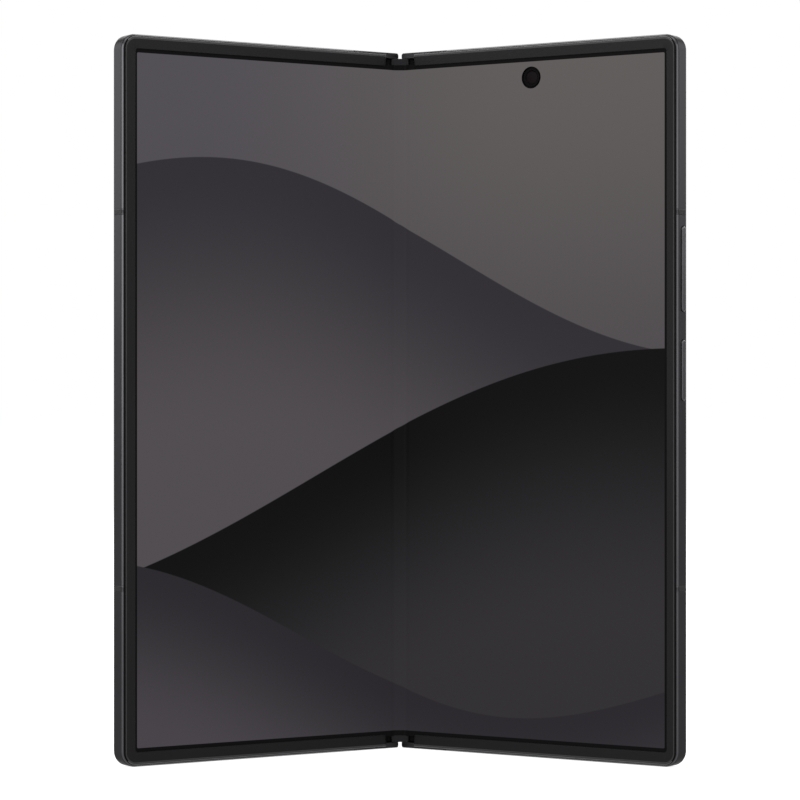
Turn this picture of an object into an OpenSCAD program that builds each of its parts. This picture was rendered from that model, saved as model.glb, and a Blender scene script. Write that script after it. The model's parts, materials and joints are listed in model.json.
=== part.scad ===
// Foldable phone with a book-style hinge, standing upright and partly open.
// X runs across the two halves, Y away from the screens, Z up. Millimetres.
// Each half is drawn flat (screen face at depth 0, spine at X = 0) and then turned about its fold axis.

/* [Body] */
// Height of the body
body_height = 158.4; // [135:0.1:190]
// Width of one half, from the middle of the spine to its outer edge, when flat
half_width = 71.6; // [68:0.1:86]
// Thickness of one half
body_depth = 4.2; // [4.2:0.05:5.1]
// Radius of the outer corners
corner_radius = 3.4; // [2.8:0.1:4.1]
// Width of the bevel round the front and rear edges
bevel_width = 0.35; // [0.25:0.01:0.42]
// Depth of the bevel at the front edge
front_bevel_depth = 0.5; // [0.4:0.01:0.6]
// Thickness of the outer walls
wall = 1.4; // [1.2:0.05:1.7]
// Thickness of the mid-plate between the screen and the inner parts
midplate = 0.45; // [0.4:0.05:0.54]

/* [Fold] */
// Turn of each half from flat, as it stands
rest_turn = 32.8; // [20:0.1:60]
// Distance of each fold axis from the middle plane
axis_x = 1.175; // [1.15:0.005:1.3]
// Depth of the fold axes behind the front face
axis_y = 0.925; // [0.92:0.005:1]
// Radius of the spine cover about each fold axis
spine_radius = 2.375; // [2.3:0.005:2.42]
// Thickness of the spine cover
spine_wall = 0.35; // [0.3:0.01:0.37]
// Running gap between the spine cover and the halves
spine_gap = 0.15; // [0.1:0.01:0.18]
// Half of the gap between the rear edges when flat
rear_edge_gap = 0.15; // [0.1:0.01:0.2]
// Distance from the middle within which the screen bends
fold_reach = 2.8; // [2.4:0.1:2.9]
// Height of each hinge block
hinge_length = 26; // [25:0.5:30]
// Distance of the hinge blocks' middles from the ends of the body
hinge_inset = 28; // [24:0.5:36]

/* [Screen] */
// Depth of the screen surface behind the bezel face
screen_sink = 0.3; // [0.25:0.01:0.35]
// Thickness of the folding screen
screen_thick = 0.5; // [0.4:0.01:0.5]
// Thickness of the metal plate behind the screen
support_thick = 0.12; // [0.08:0.01:0.13]
// Width of the bezel strip at the ends
bezel_end_width = 2.25; // [1.8:0.05:2.4]
// Width of the bezel strip at the outer side of the right half
bezel_side_right = 2.15; // [1.9:0.05:2.7]
// Width of the bezel strip at the outer side of the left half
bezel_side_left = 2.65; // [1.9:0.05:2.7]
// Gap between the bezel and the frame at the outer side
bezel_gap = 0.25; // [0.2:0.01:0.3]
// Gap between the bezel and the frame at the ends
bezel_end_gap = 0.15; // [0.12:0.01:0.3]
// Diameter of the camera opening in the screen
screen_camera_d = 4.6; // [3.6:0.1:5]
// Distance of the screen's camera from the spine
screen_camera_u = 34.8; // [30:0.1:38]
// Distance of the screen's camera from the top end
screen_camera_drop = 7.2; // [6.8:0.1:9]

/* [Rear side] */
// Thickness of the rear glass and the cover glass
glass_thick = 0.55; // [0.5:0.01:0.6]
// Width of the metal rail beside the spine, seen from behind
rail_width = 4.6; // [4.4:0.1:5]
// Width of the camera island
island_width = 19.4; // [18:0.1:20]
// Height of the island's face above the glass
island_rise = 2.6; // [1.6:0.1:3.2]
// Height of the lens rings above the island
ring_rise = 0.9; // [0.5:0.1:1.2]
// Distance between the lenses
lens_pitch = 18.8; // [17:0.1:20]
// Outer diameter of the lens rings
lens_ring_d = 14.4; // [12:0.1:15.4]
// Distance of the lenses from the outer edge
lens_inset = 13; // [12.6:0.1:16]
// Distance of the top lens from the top end
lens_drop = 17; // [15:0.1:22]

/* [Keys and port] */
// Width of the keys
key_width = 1.8; // [1.5:0.05:2]
// How far the keys stand out from the wall
key_rise = 0.3; // [0.25:0.01:0.35]
// Length of the volume key
volume_length = 18.5; // [15:0.1:21]
// Middle of the volume key, from the top end
volume_drop = 50.8; // [46:0.1:56]
// Length of the power key
power_length = 13.2; // [11:0.1:15]
// Middle of the power key, from the top end
power_drop = 72.7; // [70:0.1:80]
// Gap round a key
key_gap = 0.12; // [0.1:0.01:0.15]
// Distance of the charging port from the spine
port_u = 38; // [34:0.1:40]
// Width of the port's mouth
mouth_width = 8.34; // [8.3:0.01:8.4]
// Height of the port's mouth
mouth_height = 2.56; // [2.52:0.01:2.57]
// Thickness of the port's shell
port_wall = 0.13; // [0.1:0.01:0.13]
// Width of the card tray's face
tray_width = 14.4; // [13:0.1:16]
// Distance of the card tray from the spine
tray_u = 23; // [21:0.1:26]
// Width of an antenna break
break_width = 1.3; // [1:0.1:1.6]
// Distance of the side antenna breaks from the ends
break_inset = 38.5; // [34:0.1:40]

/* [Inside] */
// Gap left round the inner parts
fit_gap = 0.1; // [0.05:0.01:0.15]
// Thickness of the main board
board_thick = 0.6; // [0.5:0.05:0.7]
// Height of the right battery
battery_height_right = 68; // [50:0.5:72]
// Height of the left battery
battery_height_left = 82; // [60:0.5:84]
// Diameter of the charging coil
coil_d = 48; // [40:0.5:52]

/* [Hidden] */
$fn = 64;

// Depths from the front face
screen_back = screen_sink + screen_thick;
plate_front = screen_back + 0.01;
plate_back = plate_front + support_thick;
mid_front = plate_back + 0.02;
mid_back = mid_front + midplate;
bed = mid_back + 0.05;
glass_front = body_depth - glass_thick;
ledge = glass_front - 0.05;
inner_top = ledge - 0.1;

// Outlines in the plane of the screen
lip_inset = bevel_width + 0.05;
cavity_u = half_width - wall;
cavity_low = wall;
cavity_high = body_height - wall;
glass_inset = 0.8;
rear_inset = glass_inset - fit_gap;
rear_corner = corner_radius - rear_inset;
bezel_inset = lip_inset + bezel_gap;
bezel_corner = corner_radius - bezel_inset;
bezel_end = 4;
bezel_end_inset = lip_inset + bezel_end_gap;
bezel_low = bezel_end_inset + bezel_end_width;
bezel_high = body_height - bezel_low;
bezel_inner_right = half_width - bezel_inset - bezel_side_right;
bezel_inner_left = half_width - bezel_inset - bezel_side_left;
bezel_lip = 0.6;
screen_lap = 0.05;
screen_pocket_gap = 0.05;
screen_corner = 0.7;
screen_low = bezel_low - screen_lap;
screen_high = bezel_high + screen_lap;
camera_z = body_height - screen_camera_drop;

// Spine
end_wall = 1.2;
spine_low = end_wall + 0.1;
spine_high = body_height - spine_low;
cap_thick = bezel_low - spine_low - 0.1;
hollow_radius = spine_radius + spine_gap;
cover_inner = spine_radius - spine_wall;
rim_angle = 25;
rail_inner = axis_x + hollow_radius;
front_edge_u = 0.49;
front_edge_w = 0.5;
end_round = 0.55;
hinge_zs = [hinge_inset, body_height - hinge_inset];
hinge_half = hinge_length / 2;
hinge_rail = 9.6;
side_rail = 5.6;
module_wall = 0.65;
arm_out = 9.1;
arm_front = 1.1;
arm_back = 1.5;
arm_low = 6;
arm_high = hinge_half - 1;
tongue_in = 1.5;
tongue_out = 1.85;
tongue_end = 75;
boss_radius = tongue_in - 0.1;
block_radius = cover_inner - 0.075;
block_top = 0.98;
gear_y = 1.6;
gear_pitch_r = 0.5;
gear_teeth = 8;
gear_half = 2;
shaft_r = 0.25;
shaft_gap = 0.03;
shaft_half = 6;
gear_room = 5.2;
block_end_wall = 0.85;
knuckle_r = 0.6;
knuckle_low = 2.4;
knuckle_high = 4.8;
sync_x = 3 * gear_pitch_r;
sync_front = 1.4;
sync_back = 1.75;
sync_room_back = 1.95;
screw_head_r = 0.8;
screw_r = 0.4;
arm_screw_u = 7.2;
flex_front = 1.1;
flex_thick = 0.1;
flex_half = 17;
flex_reach = 3.6;

// Rear camera
lens_u = half_width - lens_inset;
lens_zs = [for (i = [0:2]) body_height - lens_drop - i * lens_pitch];
island_r = island_width / 2;
island_face = body_depth + island_rise;
island_wall = 0.8;
island_top = 0.6;
island_root = 0.5;
lens_glass_sink = 0.15;
lens_glass_thick = 0.55;
module_half = (island_r - island_wall - fit_gap) / sqrt(2);
ring_face = island_face + ring_rise;
ring_r = lens_ring_d / 2;
ring_wall = 0.9;
lens_hole_r = ring_r - ring_wall + 0.2;
flash_u = lens_u - island_r - 4.6;
flash_r = 2.1;

// Keys, port, tray and breaks
key_w = 2.5;
flange_thick = 0.4;
flange_over = 0.8;
volume_z = body_height - volume_drop;
power_z = body_height - power_drop;
port_w = (screen_back + glass_front) / 2;
port_width = mouth_width + 2 * port_wall;
port_height = mouth_height + 2 * port_wall;
port_deep = 7.6;
port_sink = 0.3;
tray_w = 2.3;
tray_face = 1.7;
tray_long = 20;
tray_thick = 0.8;
tray_slot_gap = 0.1;
tray_side = 1.2;
tray_rim = 0.8;
tray_floor = 0.15;
break_deep = 1;
side_break_zs = [break_inset, body_height - break_inset];
end_break_u = 12;
hole_w = 2.1;
sound_hole_r = 0.5;
sound_hole_pitch = 2.1;
sound_hole_u = 50;
mic_hole_r = 0.4;
bottom_mic_u = 26;
right_top_mic_us = [20, 48];
left_top_mic_u = 34.5;
left_top_mic_w = 2.3;

// Inner parts
inner_low_u = hinge_rail + 0.8;
inner_high_u = cavity_u - 3.6;
board_back = 2.9;
board_front = board_back - board_thick;
board_low = 99;
board_high = cavity_high - 1.4;
board_high_u = lens_u - island_r - 2.6;
boss_r = 1.7;
boss_bore = 0.5;
board_screw_points = [[inner_low_u + 2.4, board_low + 3], [board_high_u - 2.4, board_low + 3],
    [inner_low_u + 2.4, board_high - 3], [board_high_u - 2.4, board_high - 24]];
shield_inset = 5.5;
battery_low = 26;
battery_left_low = 36;
left_board_low = 122;
left_board_high = board_high;
left_board_back = 2.6;
left_board_low_u = tray_u + tray_width / 2 + 2.6;
left_screw_points = [[left_board_low_u + 2.4, left_board_low + 3], [inner_high_u - 2.4, left_board_low + 3],
    [inner_high_u - 2.4, left_board_high - 9]];
cover_panel_thick = 0.45;
cover_panel_front = ledge - cover_panel_thick;
cover_panel_width = 64;
cover_panel_inset = 3.6;
cover_camera_u = 37.5;
cover_camera_z = body_height - 8.2;
cover_camera_r = 2.2;
magnet_zs = [12, 50, body_height - 30, body_height - 10];
switch_u = cavity_u - 1.35;
switch_board_thick = 0.3;
switch_dome_r = 0.7;
switch_dome_rise = 0.2;
switch_offset = 5;
screw_hole_r = 0.7;
screw_head_top_r = 1.2;
screw_thread_gap = 0.05;
barrel_r = 1.9;
barrel_seat_r = 2.8;
barrel_frame_r = 3;
barrel_board_r = 3.4;
cover_barrel_board_r = 3.2;
earpiece_low_u = 48;
earpiece_high_u = 62.5;
earpiece_height = 4;
earpiece_side_gap = 1;
far = 20;

// Places on a half as it stands, and the depth that centres the part over its origin
function turned_y(u, w) = axis_y - (u - axis_x) * sin(rest_turn) + (w - axis_y) * cos(rest_turn);
lip_bevel = 0.4;
front_most = turned_y(half_width - bevel_width, 0);
back_most = max(turned_y(rear_edge_gap, body_depth - lip_bevel),
    turned_y(rear_edge_gap + lip_bevel, body_depth));
stand_y = -(front_most + back_most) / 2;

module turn_about(x, y, angle) {
    translate([x, y, 0]) rotate([0, 0, angle]) translate([-x, -y, 0]) children();
}
module on_spine() { translate([0, stand_y, 0]) children(); }
module on_right() { on_spine() turn_about(axis_x, axis_y, -rest_turn) children(); }
module on_left() { mirror([1, 0, 0]) on_right() children(); }

// Extrudes an outline drawn in the plane of the screen from depth w0 to w1
module plate(w0, w1) { translate([0, w1, 0]) rotate([90, 0, 0]) linear_extrude(w1 - w0) children(); }

// A box between two corners of a half
module block(u, w, z) { translate([u[0], w[0], z[0]]) cube([u[1] - u[0], w[1] - w[0], z[1] - z[0]]); }

// A rod across the half's thickness
module rod(u, z, r, w0, w1) { translate([u, w1, z]) rotate([90, 0, 0]) cylinder(r = r, h = w1 - w0); }

// An outline with its two outer corners rounded
module outer_round(u0, u1, z0, z1, r) {
    translate([u0, z0]) square([u1 - u0 - r, z1 - z0]);
    translate([u0, z0 + r]) square([u1 - u0, z1 - z0 - 2 * r]);
    for (z = [z0 + r, z1 - r]) translate([u1 - r, z]) circle(r);
}

// A rectangle with all four corners rounded
module round_box(u0, u1, z0, z1, r) {
    translate([u0 + r, z0]) square([u1 - u0 - 2 * r, z1 - z0]);
    translate([u0, z0 + r]) square([u1 - u0, z1 - z0 - 2 * r]);
    for (u = [u0 + r, u1 - r], z = [z0 + r, z1 - r]) translate([u, z]) circle(r);
}

// An upright slot with round ends
module pill(u, z0, z1, r) {
    translate([u - r, z0 + r]) square([2 * r, z1 - z0 - 2 * r]);
    for (z = [z0 + r, z1 - r]) translate([u, z]) circle(r);
}

// ---- Frames ----

// The outer shape of a half, with bevelled front and rear edges
module half_blank() {
    b = bevel_width;
    f = front_bevel_depth;
    d = body_depth;
    r = corner_radius;
    u0 = rear_edge_gap;
    u1 = half_width;
    h = body_height;
    translate([0, 0, r]) linear_extrude(h - 2 * r)
        polygon([[u0, 0], [u1 - b, 0], [u1, f], [u1, d - b], [u1 - b, d], [u0, d]]);
    translate([u0, 0, 0]) rotate([90, 0, 90]) linear_extrude(u1 - r - u0)
        polygon([[0, b], [0, h - b], [f, h], [d - b, h], [d, h - b], [d, b], [d - b, 0], [f, 0]]);
    for (z = [r, h - r]) translate([u1 - r, d, z]) rotate([90, 0, 0]) rotate_extrude()
        polygon([[0, 0], [r - b, 0], [r, b], [r, d - f], [r - b, d], [0, d]]);
}

// What is cut from the spine edge so that it ends at u with round corners
module spine_edge_cut(u, w0, w1) {
    plate(w0, w1) difference() {
        translate([u - 2, -1]) square([2 + end_round, body_height + 2]);
        round_box(u, u + 4, 0, body_height, end_round);
    }
}

// The round hollow in which the spine turns, and the slot beside it
module spine_hollow() {
    span = body_height - 2 * end_wall;
    translate([axis_x, axis_y, end_wall]) cylinder(r = hollow_radius, h = span);
    block([-1, axis_x], [-1, axis_y + hollow_radius], [end_wall, end_wall + span]);
    block([-1, rail_inner], [-1, axis_y], [end_wall, end_wall + span]);
}

// Room for the swing arms and the sync arms in the hinge-side rail
module arm_rooms() {
    for (c = hinge_zs) {
        for (s = [-1, 1]) {
            mid = c + s * (arm_low + arm_high) / 2;
            half = (arm_high - arm_low) / 2 + 0.15;
            block([2, arm_out + fit_gap], [0, arm_back], [mid - half, mid + half]);
            rod(arm_screw_u, mid, screw_r + 0.05, 1, inner_top - 0.3);
        }
        block([2, hinge_rail], [0, sync_room_back], [c - knuckle_high - 0.3, c + knuckle_high + 0.3]);
    }
    middle = body_height / 2;
    block([2, side_rail + 1], [0, mid_back], [middle - flex_half - 1, middle + flex_half + 1]);
}

module frame_body(rail_top) {
    difference() {
        half_blank();
        plate(-1, mid_front) outer_round(bezel_end, half_width - lip_inset, lip_inset,
            body_height - lip_inset, corner_radius - lip_inset);
        block([-1, bezel_end + 1], [-1, mid_front], [end_wall, body_height - end_wall]);
        for (z = [[-1, end_wall + 0.1], [body_height - end_wall - 0.1, body_height + 1]])
            block([-1, bezel_end], [-1, front_edge_w], z);
        spine_edge_cut(front_edge_u, -1, sync_front);
        spine_edge_cut(rear_edge_gap, sync_front, body_depth + 1);
        translate([rear_edge_gap, body_depth, -1]) rotate([0, 0, 45])
            translate([-2, -lip_bevel / sqrt(2), 0]) cube([4, 2, body_height + 2]);
        spine_hollow();
        plate(ledge, body_depth + 1) outer_round(rail_width, half_width - rear_inset, rear_inset,
            body_height - rear_inset, rear_corner);
        difference() {
            block([side_rail, cavity_u], [mid_back, body_depth], [cavity_low, cavity_high]);
            for (c = hinge_zs) block([side_rail - 1, hinge_rail], [0, rail_top],
                [c - hinge_half - 1, c + hinge_half + 1]);
        }
        arm_rooms();
        break_slots(0);
    }
}

// The slots in the walls for the antenna breaks, or the breaks' own boxes
module break_slots(gap) {
    half = break_width / 2 - gap;
    for (z = side_break_zs)
        block([half_width - break_deep, half_width + 1], [-1, body_depth + 1], [z - half, z + half]);
    block([end_break_u - half, end_break_u + half], [-1, body_depth + 1],
        [body_height - break_deep, body_height + 1]);
    block([end_break_u - half, end_break_u + half], [-1, body_depth + 1], [-1, break_deep]);
}

module antenna_breaks() {
    intersection() {
        difference() {
            half_blank();
            plate(-1, mid_front) outer_round(bezel_end, half_width - lip_inset, lip_inset,
                body_height - lip_inset, corner_radius - lip_inset);
            plate(ledge, body_depth + 1) outer_round(rail_width, half_width - rear_inset, rear_inset,
                body_height - rear_inset, rear_corner);
        }
        break_slots(0);
    }
}

module key_slot(z, length) {
    r = key_width / 2 + key_gap;
    translate([cavity_u - 1, key_w, 0]) rotate([90, 0, 90]) linear_extrude(wall + 2)
        pill(0, z - length / 2 - key_gap, z + length / 2 + key_gap, r);
}

module port_outline(grow) {
    r = port_height / 2 + grow;
    half = port_width / 2 + grow - r;
    translate([port_u - half, port_w - r]) square([2 * half, 2 * r]);
    for (s = [-1, 1]) translate([port_u + s * half, port_w]) circle(r);
}

module screw_bosses(points, top) {
    for (p = points) difference() {
        rod(p[0], p[1], boss_r, mid_back - 0.2, top);
        rod(p[0], p[1], boss_bore, mid_front - 1, top + 1);
    }
}

// A round hole through the top or bottom wall, from height z
module end_hole(u, w, z, r) { translate([u, w, z]) cylinder(r = r, h = wall + 2); }

module right_frame() {
    color([0.28, 0.28, 0.30]) on_right() {
        difference() {
            union() {
                frame_body(ledge);
                screw_bosses(board_screw_points, board_front);
            }
            for (p = board_screw_points) rod(p[0], p[1], boss_bore, mid_back, board_front + 1);
            key_slot(volume_z, volume_length);
            key_slot(power_z, power_length);
            translate([0, 0, -1]) linear_extrude(port_sink + port_deep + 1.1) port_outline(0.04);
            for (i = [0:5]) end_hole(sound_hole_u + i * sound_hole_pitch, hole_w, -1, sound_hole_r);
            end_hole(bottom_mic_u, hole_w, -1, mic_hole_r);
            for (u = right_top_mic_us) end_hole(u, hole_w, cavity_high - 1, mic_hole_r);
            rod(screen_camera_u, camera_z, barrel_frame_r, mid_front - 1, bed);
        }
    }
}

module left_frame() {
    color([0.28, 0.28, 0.30]) on_left() {
        difference() {
            union() {
                frame_body(cover_panel_front - 0.05);
                screw_bosses(left_screw_points, left_board_back - board_thick);
            }
            for (p = left_screw_points) rod(p[0], p[1], boss_bore, mid_back, left_board_back);
            translate([0, 0, cavity_high - 1]) linear_extrude(wall + 2) tray_outline(tray_slot_gap);
            end_hole(left_top_mic_u, left_top_mic_w, cavity_high - 1, mic_hole_r);
            end_hole(bottom_mic_u, hole_w, -1, mic_hole_r);
            for (i = [0:4])
                end_hole(sound_hole_u + i * sound_hole_pitch, hole_w, cavity_high - 1, sound_hole_r);
        }
    }
}

module right_antenna_breaks() { color([0.23, 0.23, 0.25]) on_right() antenna_breaks(); }
module left_antenna_breaks() { color([0.23, 0.23, 0.25]) on_left() antenna_breaks(); }

// ---- Screen side ----

module bezel(inner) {
    side = inner + bezel_lip;
    difference() {
        plate(0, screen_back) difference() {
            outer_round(bezel_end, half_width - bezel_inset, bezel_end_inset,
                body_height - bezel_end_inset, bezel_corner);
            round_box(-far, inner, bezel_low, bezel_high, screen_corner);
        }
        block([-1, side + screen_pocket_gap], [screen_sink - 0.02, mid_front],
            [screen_low - screen_pocket_gap, screen_high + screen_pocket_gap]);
    }
}

module screen_slab(inner) {
    block([fold_reach, inner + bezel_lip], [screen_sink, screen_back], [screen_low, screen_high]);
}

module right_bezel() { color([0.14, 0.14, 0.15]) on_right() bezel(bezel_inner_right); }
module left_bezel() { color([0.14, 0.14, 0.15]) on_left() bezel(bezel_inner_left); }

module right_display() {
    color([0.30, 0.29, 0.31]) on_right() difference() {
        screen_slab(bezel_inner_right);
        rod(screen_camera_u, camera_z, screen_camera_d / 2, 0, 1);
    }
}
module left_display() { color([0.30, 0.29, 0.31]) on_left() screen_slab(bezel_inner_left); }

module support_plate(inner) {
    block([rail_inner + 0.1, inner + bezel_lip], [plate_front, plate_back], [screen_low, screen_high]);
}
module right_support_plate() {
    color("silver") on_right() difference() {
        support_plate(bezel_inner_right);
        rod(screen_camera_u, camera_z, barrel_frame_r, 0, 2);
        block([port_u - port_width / 2 - 0.2, port_u + port_width / 2 + 0.2], [0, 2],
            [-1, port_sink + port_deep + fit_gap]);
    }
}
module left_support_plate() { color("silver") on_left() support_plate(bezel_inner_left); }

// The bend of anything that crosses the spine: a point x from the middle turns by a smooth share
function share(x) = let (t = min(abs(x) / fold_reach, 1)) t * t * (3 - 2 * t);
function bent(x, w) = let (
    s = x < 0 ? -1 : 1,
    a = share(x) * rest_turn,
    u = abs(x) - axis_x,
    v = w - axis_y
) [s * (axis_x + u * cos(a) + v * sin(a)), axis_y - u * sin(a) + v * cos(a)];
module bent_strip(reach, w0, w1, z0, z1) {
    steps = 12;
    xs = [for (i = [-steps:steps]) reach * i / steps];
    translate([0, 0, z0]) linear_extrude(z1 - z0) polygon(concat(
        [for (x = xs) bent(x, w0)], [for (i = [len(xs) - 1:-1:0]) bent(xs[i], w1)]));
}
module fold_display() {
    color([0.30, 0.29, 0.31]) on_spine()
        bent_strip(fold_reach, screen_sink, screen_back, screen_low, screen_high);
}
module flex_cable() {
    middle = body_height / 2;
    color([0.75, 0.45, 0.15]) on_spine()
        bent_strip(flex_reach, flex_front, flex_front + flex_thick, middle - flex_half, middle + flex_half);
}

// ---- Rear side ----

module rear_plate() {
    plate(glass_front, body_depth) outer_round(rail_width + fit_gap, half_width - glass_inset, glass_inset,
        body_height - glass_inset, rear_corner - fit_gap);
}
island_low = lens_zs[2] - island_r;
island_high = lens_zs[0] + island_r;

module rear_glass() {
    color([0.20, 0.20, 0.22]) on_right() difference() {
        rear_plate();
        plate(0, far) pill(lens_u, island_low - fit_gap, island_high + fit_gap, island_r + fit_gap);
        rod(flash_u, lens_zs[0], flash_r + fit_gap, 0, far);
    }
}
module cover_glass() { color([0.05, 0.05, 0.06]) on_left() rear_plate(); }

module cover_display() {
    color([0.10, 0.10, 0.11]) on_left() difference() {
        block([rail_width + 1.2, rail_width + 1.2 + cover_panel_width], [cover_panel_front, ledge],
            [cover_panel_inset, body_height - cover_panel_inset]);
        rod(cover_camera_u, cover_camera_z, cover_camera_r, 0, far);
    }
}

module camera_island() {
    color([0.22, 0.22, 0.24]) on_right() difference() {
        plate(ledge - island_root, island_face) pill(lens_u, island_low, island_high, island_r);
        plate(0, island_face - island_top) pill(lens_u, island_low + island_wall, island_high - island_wall,
            island_r - island_wall);
        for (z = lens_zs) rod(lens_u, z, lens_hole_r, 0, far);
    }
}
module camera_rings() {
    color([0.40, 0.40, 0.42]) on_right() for (z = lens_zs) difference() {
        rod(lens_u, z, ring_r, island_face, ring_face);
        rod(lens_u, z, ring_r - ring_wall, island_face - 1, ring_face + 1);
    }
}
module camera_lens_glasses() {
    color([0.03, 0.03, 0.04]) on_right() for (z = lens_zs)
        rod(lens_u, z, ring_r - ring_wall - 0.05, ring_face - lens_glass_sink - lens_glass_thick,
            ring_face - lens_glass_sink);
}
module camera_modules() {
    barrel = ring_r - ring_wall - 1.2;
    glass_under = ring_face - lens_glass_sink - lens_glass_thick;
    color([0.15, 0.15, 0.16]) on_right() for (z = lens_zs) {
        block([lens_u - module_half, lens_u + module_half], [bed, ledge + island_rise / 2],
            [z - module_half, z + module_half]);
        rod(lens_u, z, barrel, ledge, glass_under - 0.05);
    }
}
module flash_lens() {
    color([0.9, 0.88, 0.75]) on_right() rod(flash_u, lens_zs[0], flash_r, board_back + 0.05, body_depth);
}

// ---- Inside the right half ----

module main_board() {
    color([0.05, 0.25, 0.18]) on_right() difference() {
        block([inner_low_u, board_high_u], [board_front, board_back], [board_low, board_high]);
        for (p = board_screw_points) rod(p[0], p[1], screw_hole_r, 0, far);
        rod(screen_camera_u, camera_z, barrel_board_r, 0, far);
    }
}
module board_shields() {
    color([0.70, 0.70, 0.72]) on_right() {
        block([inner_low_u + shield_inset, board_high_u - shield_inset], [bed + 0.05, board_front],
            [board_low + 6, board_low + 28]);
        block([inner_low_u + shield_inset, board_high_u - 13], [board_back, inner_top],
            [board_low + 8, board_low + 42]);
    }
}
module board_screws() {
    color([0.55, 0.55, 0.57]) on_right() for (p = board_screw_points) {
        rod(p[0], p[1], screw_head_top_r, board_back, inner_top);
        rod(p[0], p[1], boss_bore - screw_thread_gap, bed, board_back);
    }
}
module right_battery() {
    color([0.12, 0.12, 0.13]) on_right() plate(bed, inner_top - 0.25)
        round_box(inner_low_u, inner_high_u, battery_low, battery_low + battery_height_right, 1.5);
}
module charging_coil() {
    middle = battery_low + battery_height_right / 2;
    color([0.60, 0.33, 0.15]) on_right() difference() {
        rod((inner_low_u + inner_high_u) / 2, middle, coil_d / 2, inner_top - 0.24, ledge - 0.02);
        rod((inner_low_u + inner_high_u) / 2, middle, coil_d / 4, 0, far);
    }
}
module usb_port() {
    color([0.62, 0.62, 0.64]) on_right() difference() {
        translate([0, 0, port_sink]) linear_extrude(port_deep) port_outline(0);
        translate([0, 0, port_sink - 1]) linear_extrude(port_deep + 0.6) port_outline(-port_wall);
    }
}
module usb_tongue() {
    tongue_half = 3.35;
    thick = 0.7;
    color([0.10, 0.10, 0.10]) on_right() block([port_u - tongue_half, port_u + tongue_half],
        [port_w - thick / 2, port_w + thick / 2], [port_sink + 0.9, port_sink + port_deep - 0.4]);
}
module charging_board() {
    low = port_sink + port_deep + 0.1;
    color([0.05, 0.25, 0.18]) on_right()
        block([inner_low_u, inner_high_u], [bed, bed + board_thick], [low, low + 16]);
}
module loudspeaker() {
    color([0.10, 0.10, 0.11]) on_right() plate(bed, inner_top)
        round_box(port_u + 9, inner_high_u, cavity_low + 0.1, cavity_low + 6.2, 0.6);
}
module vibration_motor() {
    low = port_sink + port_deep + 3;
    color([0.66, 0.66, 0.68]) on_right() plate(bed + board_thick + 0.02, inner_top)
        round_box(inner_high_u - 14, inner_high_u - 4, low, low + 10, 1.5);
}
module inner_camera() {
    color([0.06, 0.06, 0.07]) on_right() {
        rod(screen_camera_u, camera_z, barrel_seat_r, mid_front, board_back - 0.2);
        rod(screen_camera_u, camera_z, barrel_r, screen_sink + 0.15, mid_front);
    }
}
module key_switch_board() {
    color([0.70, 0.42, 0.15]) on_right() {
        block([switch_u - switch_board_thick, switch_u], [key_w - key_width / 2, key_w + key_width / 2],
            [power_z - power_length / 2, volume_z + volume_length / 2]);
        for (z = [volume_z - switch_offset, volume_z + switch_offset, power_z])
            translate([switch_u - 0.1, key_w, z]) rotate([0, 90, 0])
                cylinder(r = switch_dome_r, h = switch_dome_rise + 0.1);
    }
}

// A key: a round-ended face through the wall, and a flange behind the wall that keeps it in
module side_key(z, length) {
    r = key_width / 2;
    face = half_width + key_rise;
    inner = cavity_u - fit_gap - flange_thick;
    translate([inner, key_w, 0]) rotate([90, 0, 90]) {
        linear_extrude(face - inner) pill(0, z - length / 2, z + length / 2, r);
        linear_extrude(flange_thick) pill(0, z - length / 2 - flange_over, z + length / 2 + flange_over, r);
    }
}
module volume_key() { color([0.33, 0.33, 0.34]) on_right() side_key(volume_z, volume_length); }
module power_key() { color([0.33, 0.33, 0.34]) on_right() side_key(power_z, power_length); }

module magnets() {
    for (z = magnet_zs) block([cavity_u - 2.9, cavity_u - 0.1], [bed, bed + 1.4], [z - 2, z + 2]);
}
module right_magnets() { color("silver") on_right() magnets(); }
module left_magnets() { color("silver") on_left() magnets(); }

// ---- Inside the left half ----

module cover_camera() {
    color([0.06, 0.06, 0.07]) on_left() {
        rod(cover_camera_u, cover_camera_z, barrel_seat_r, bed, cover_panel_front - 0.05);
        rod(cover_camera_u, cover_camera_z, cover_camera_r - 0.3, bed, ledge);
    }
}
module left_battery() {
    color([0.12, 0.12, 0.13]) on_left() plate(bed, cover_panel_front - 0.15)
        round_box(inner_low_u, inner_high_u, battery_left_low, battery_left_low + battery_height_left, 1.5);
}
module left_board() {
    color([0.05, 0.25, 0.18]) on_left() difference() {
        block([left_board_low_u, inner_high_u], [left_board_back - board_thick, left_board_back],
            [left_board_low, left_board_high]);
        for (p = left_screw_points) rod(p[0], p[1], screw_hole_r, 0, far);
        rod(cover_camera_u, cover_camera_z, cover_barrel_board_r, 0, far);
        block([earpiece_low_u - earpiece_side_gap, inner_high_u + 1], [0, far],
            [left_board_high - earpiece_height - 0.6, left_board_high + 1]);
    }
}
module left_shields() {
    color([0.70, 0.70, 0.72]) on_left()
        block([left_board_low_u + shield_inset, inner_high_u - shield_inset],
            [bed, left_board_back - board_thick], [left_board_low + 6, left_board_low + 20]);
}
module left_board_screws() {
    color([0.55, 0.55, 0.57]) on_left() for (p = left_screw_points) {
        rod(p[0], p[1], screw_head_top_r, left_board_back, cover_panel_front - 0.1);
        rod(p[0], p[1], boss_bore - screw_thread_gap, bed, left_board_back);
    }
}
module earpiece() {
    color([0.10, 0.10, 0.11]) on_left() plate(bed, cover_panel_front - 0.1)
        round_box(earpiece_low_u, earpiece_high_u, left_board_high - earpiece_height,
            cavity_high - fit_gap, 0.6);
}

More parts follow.
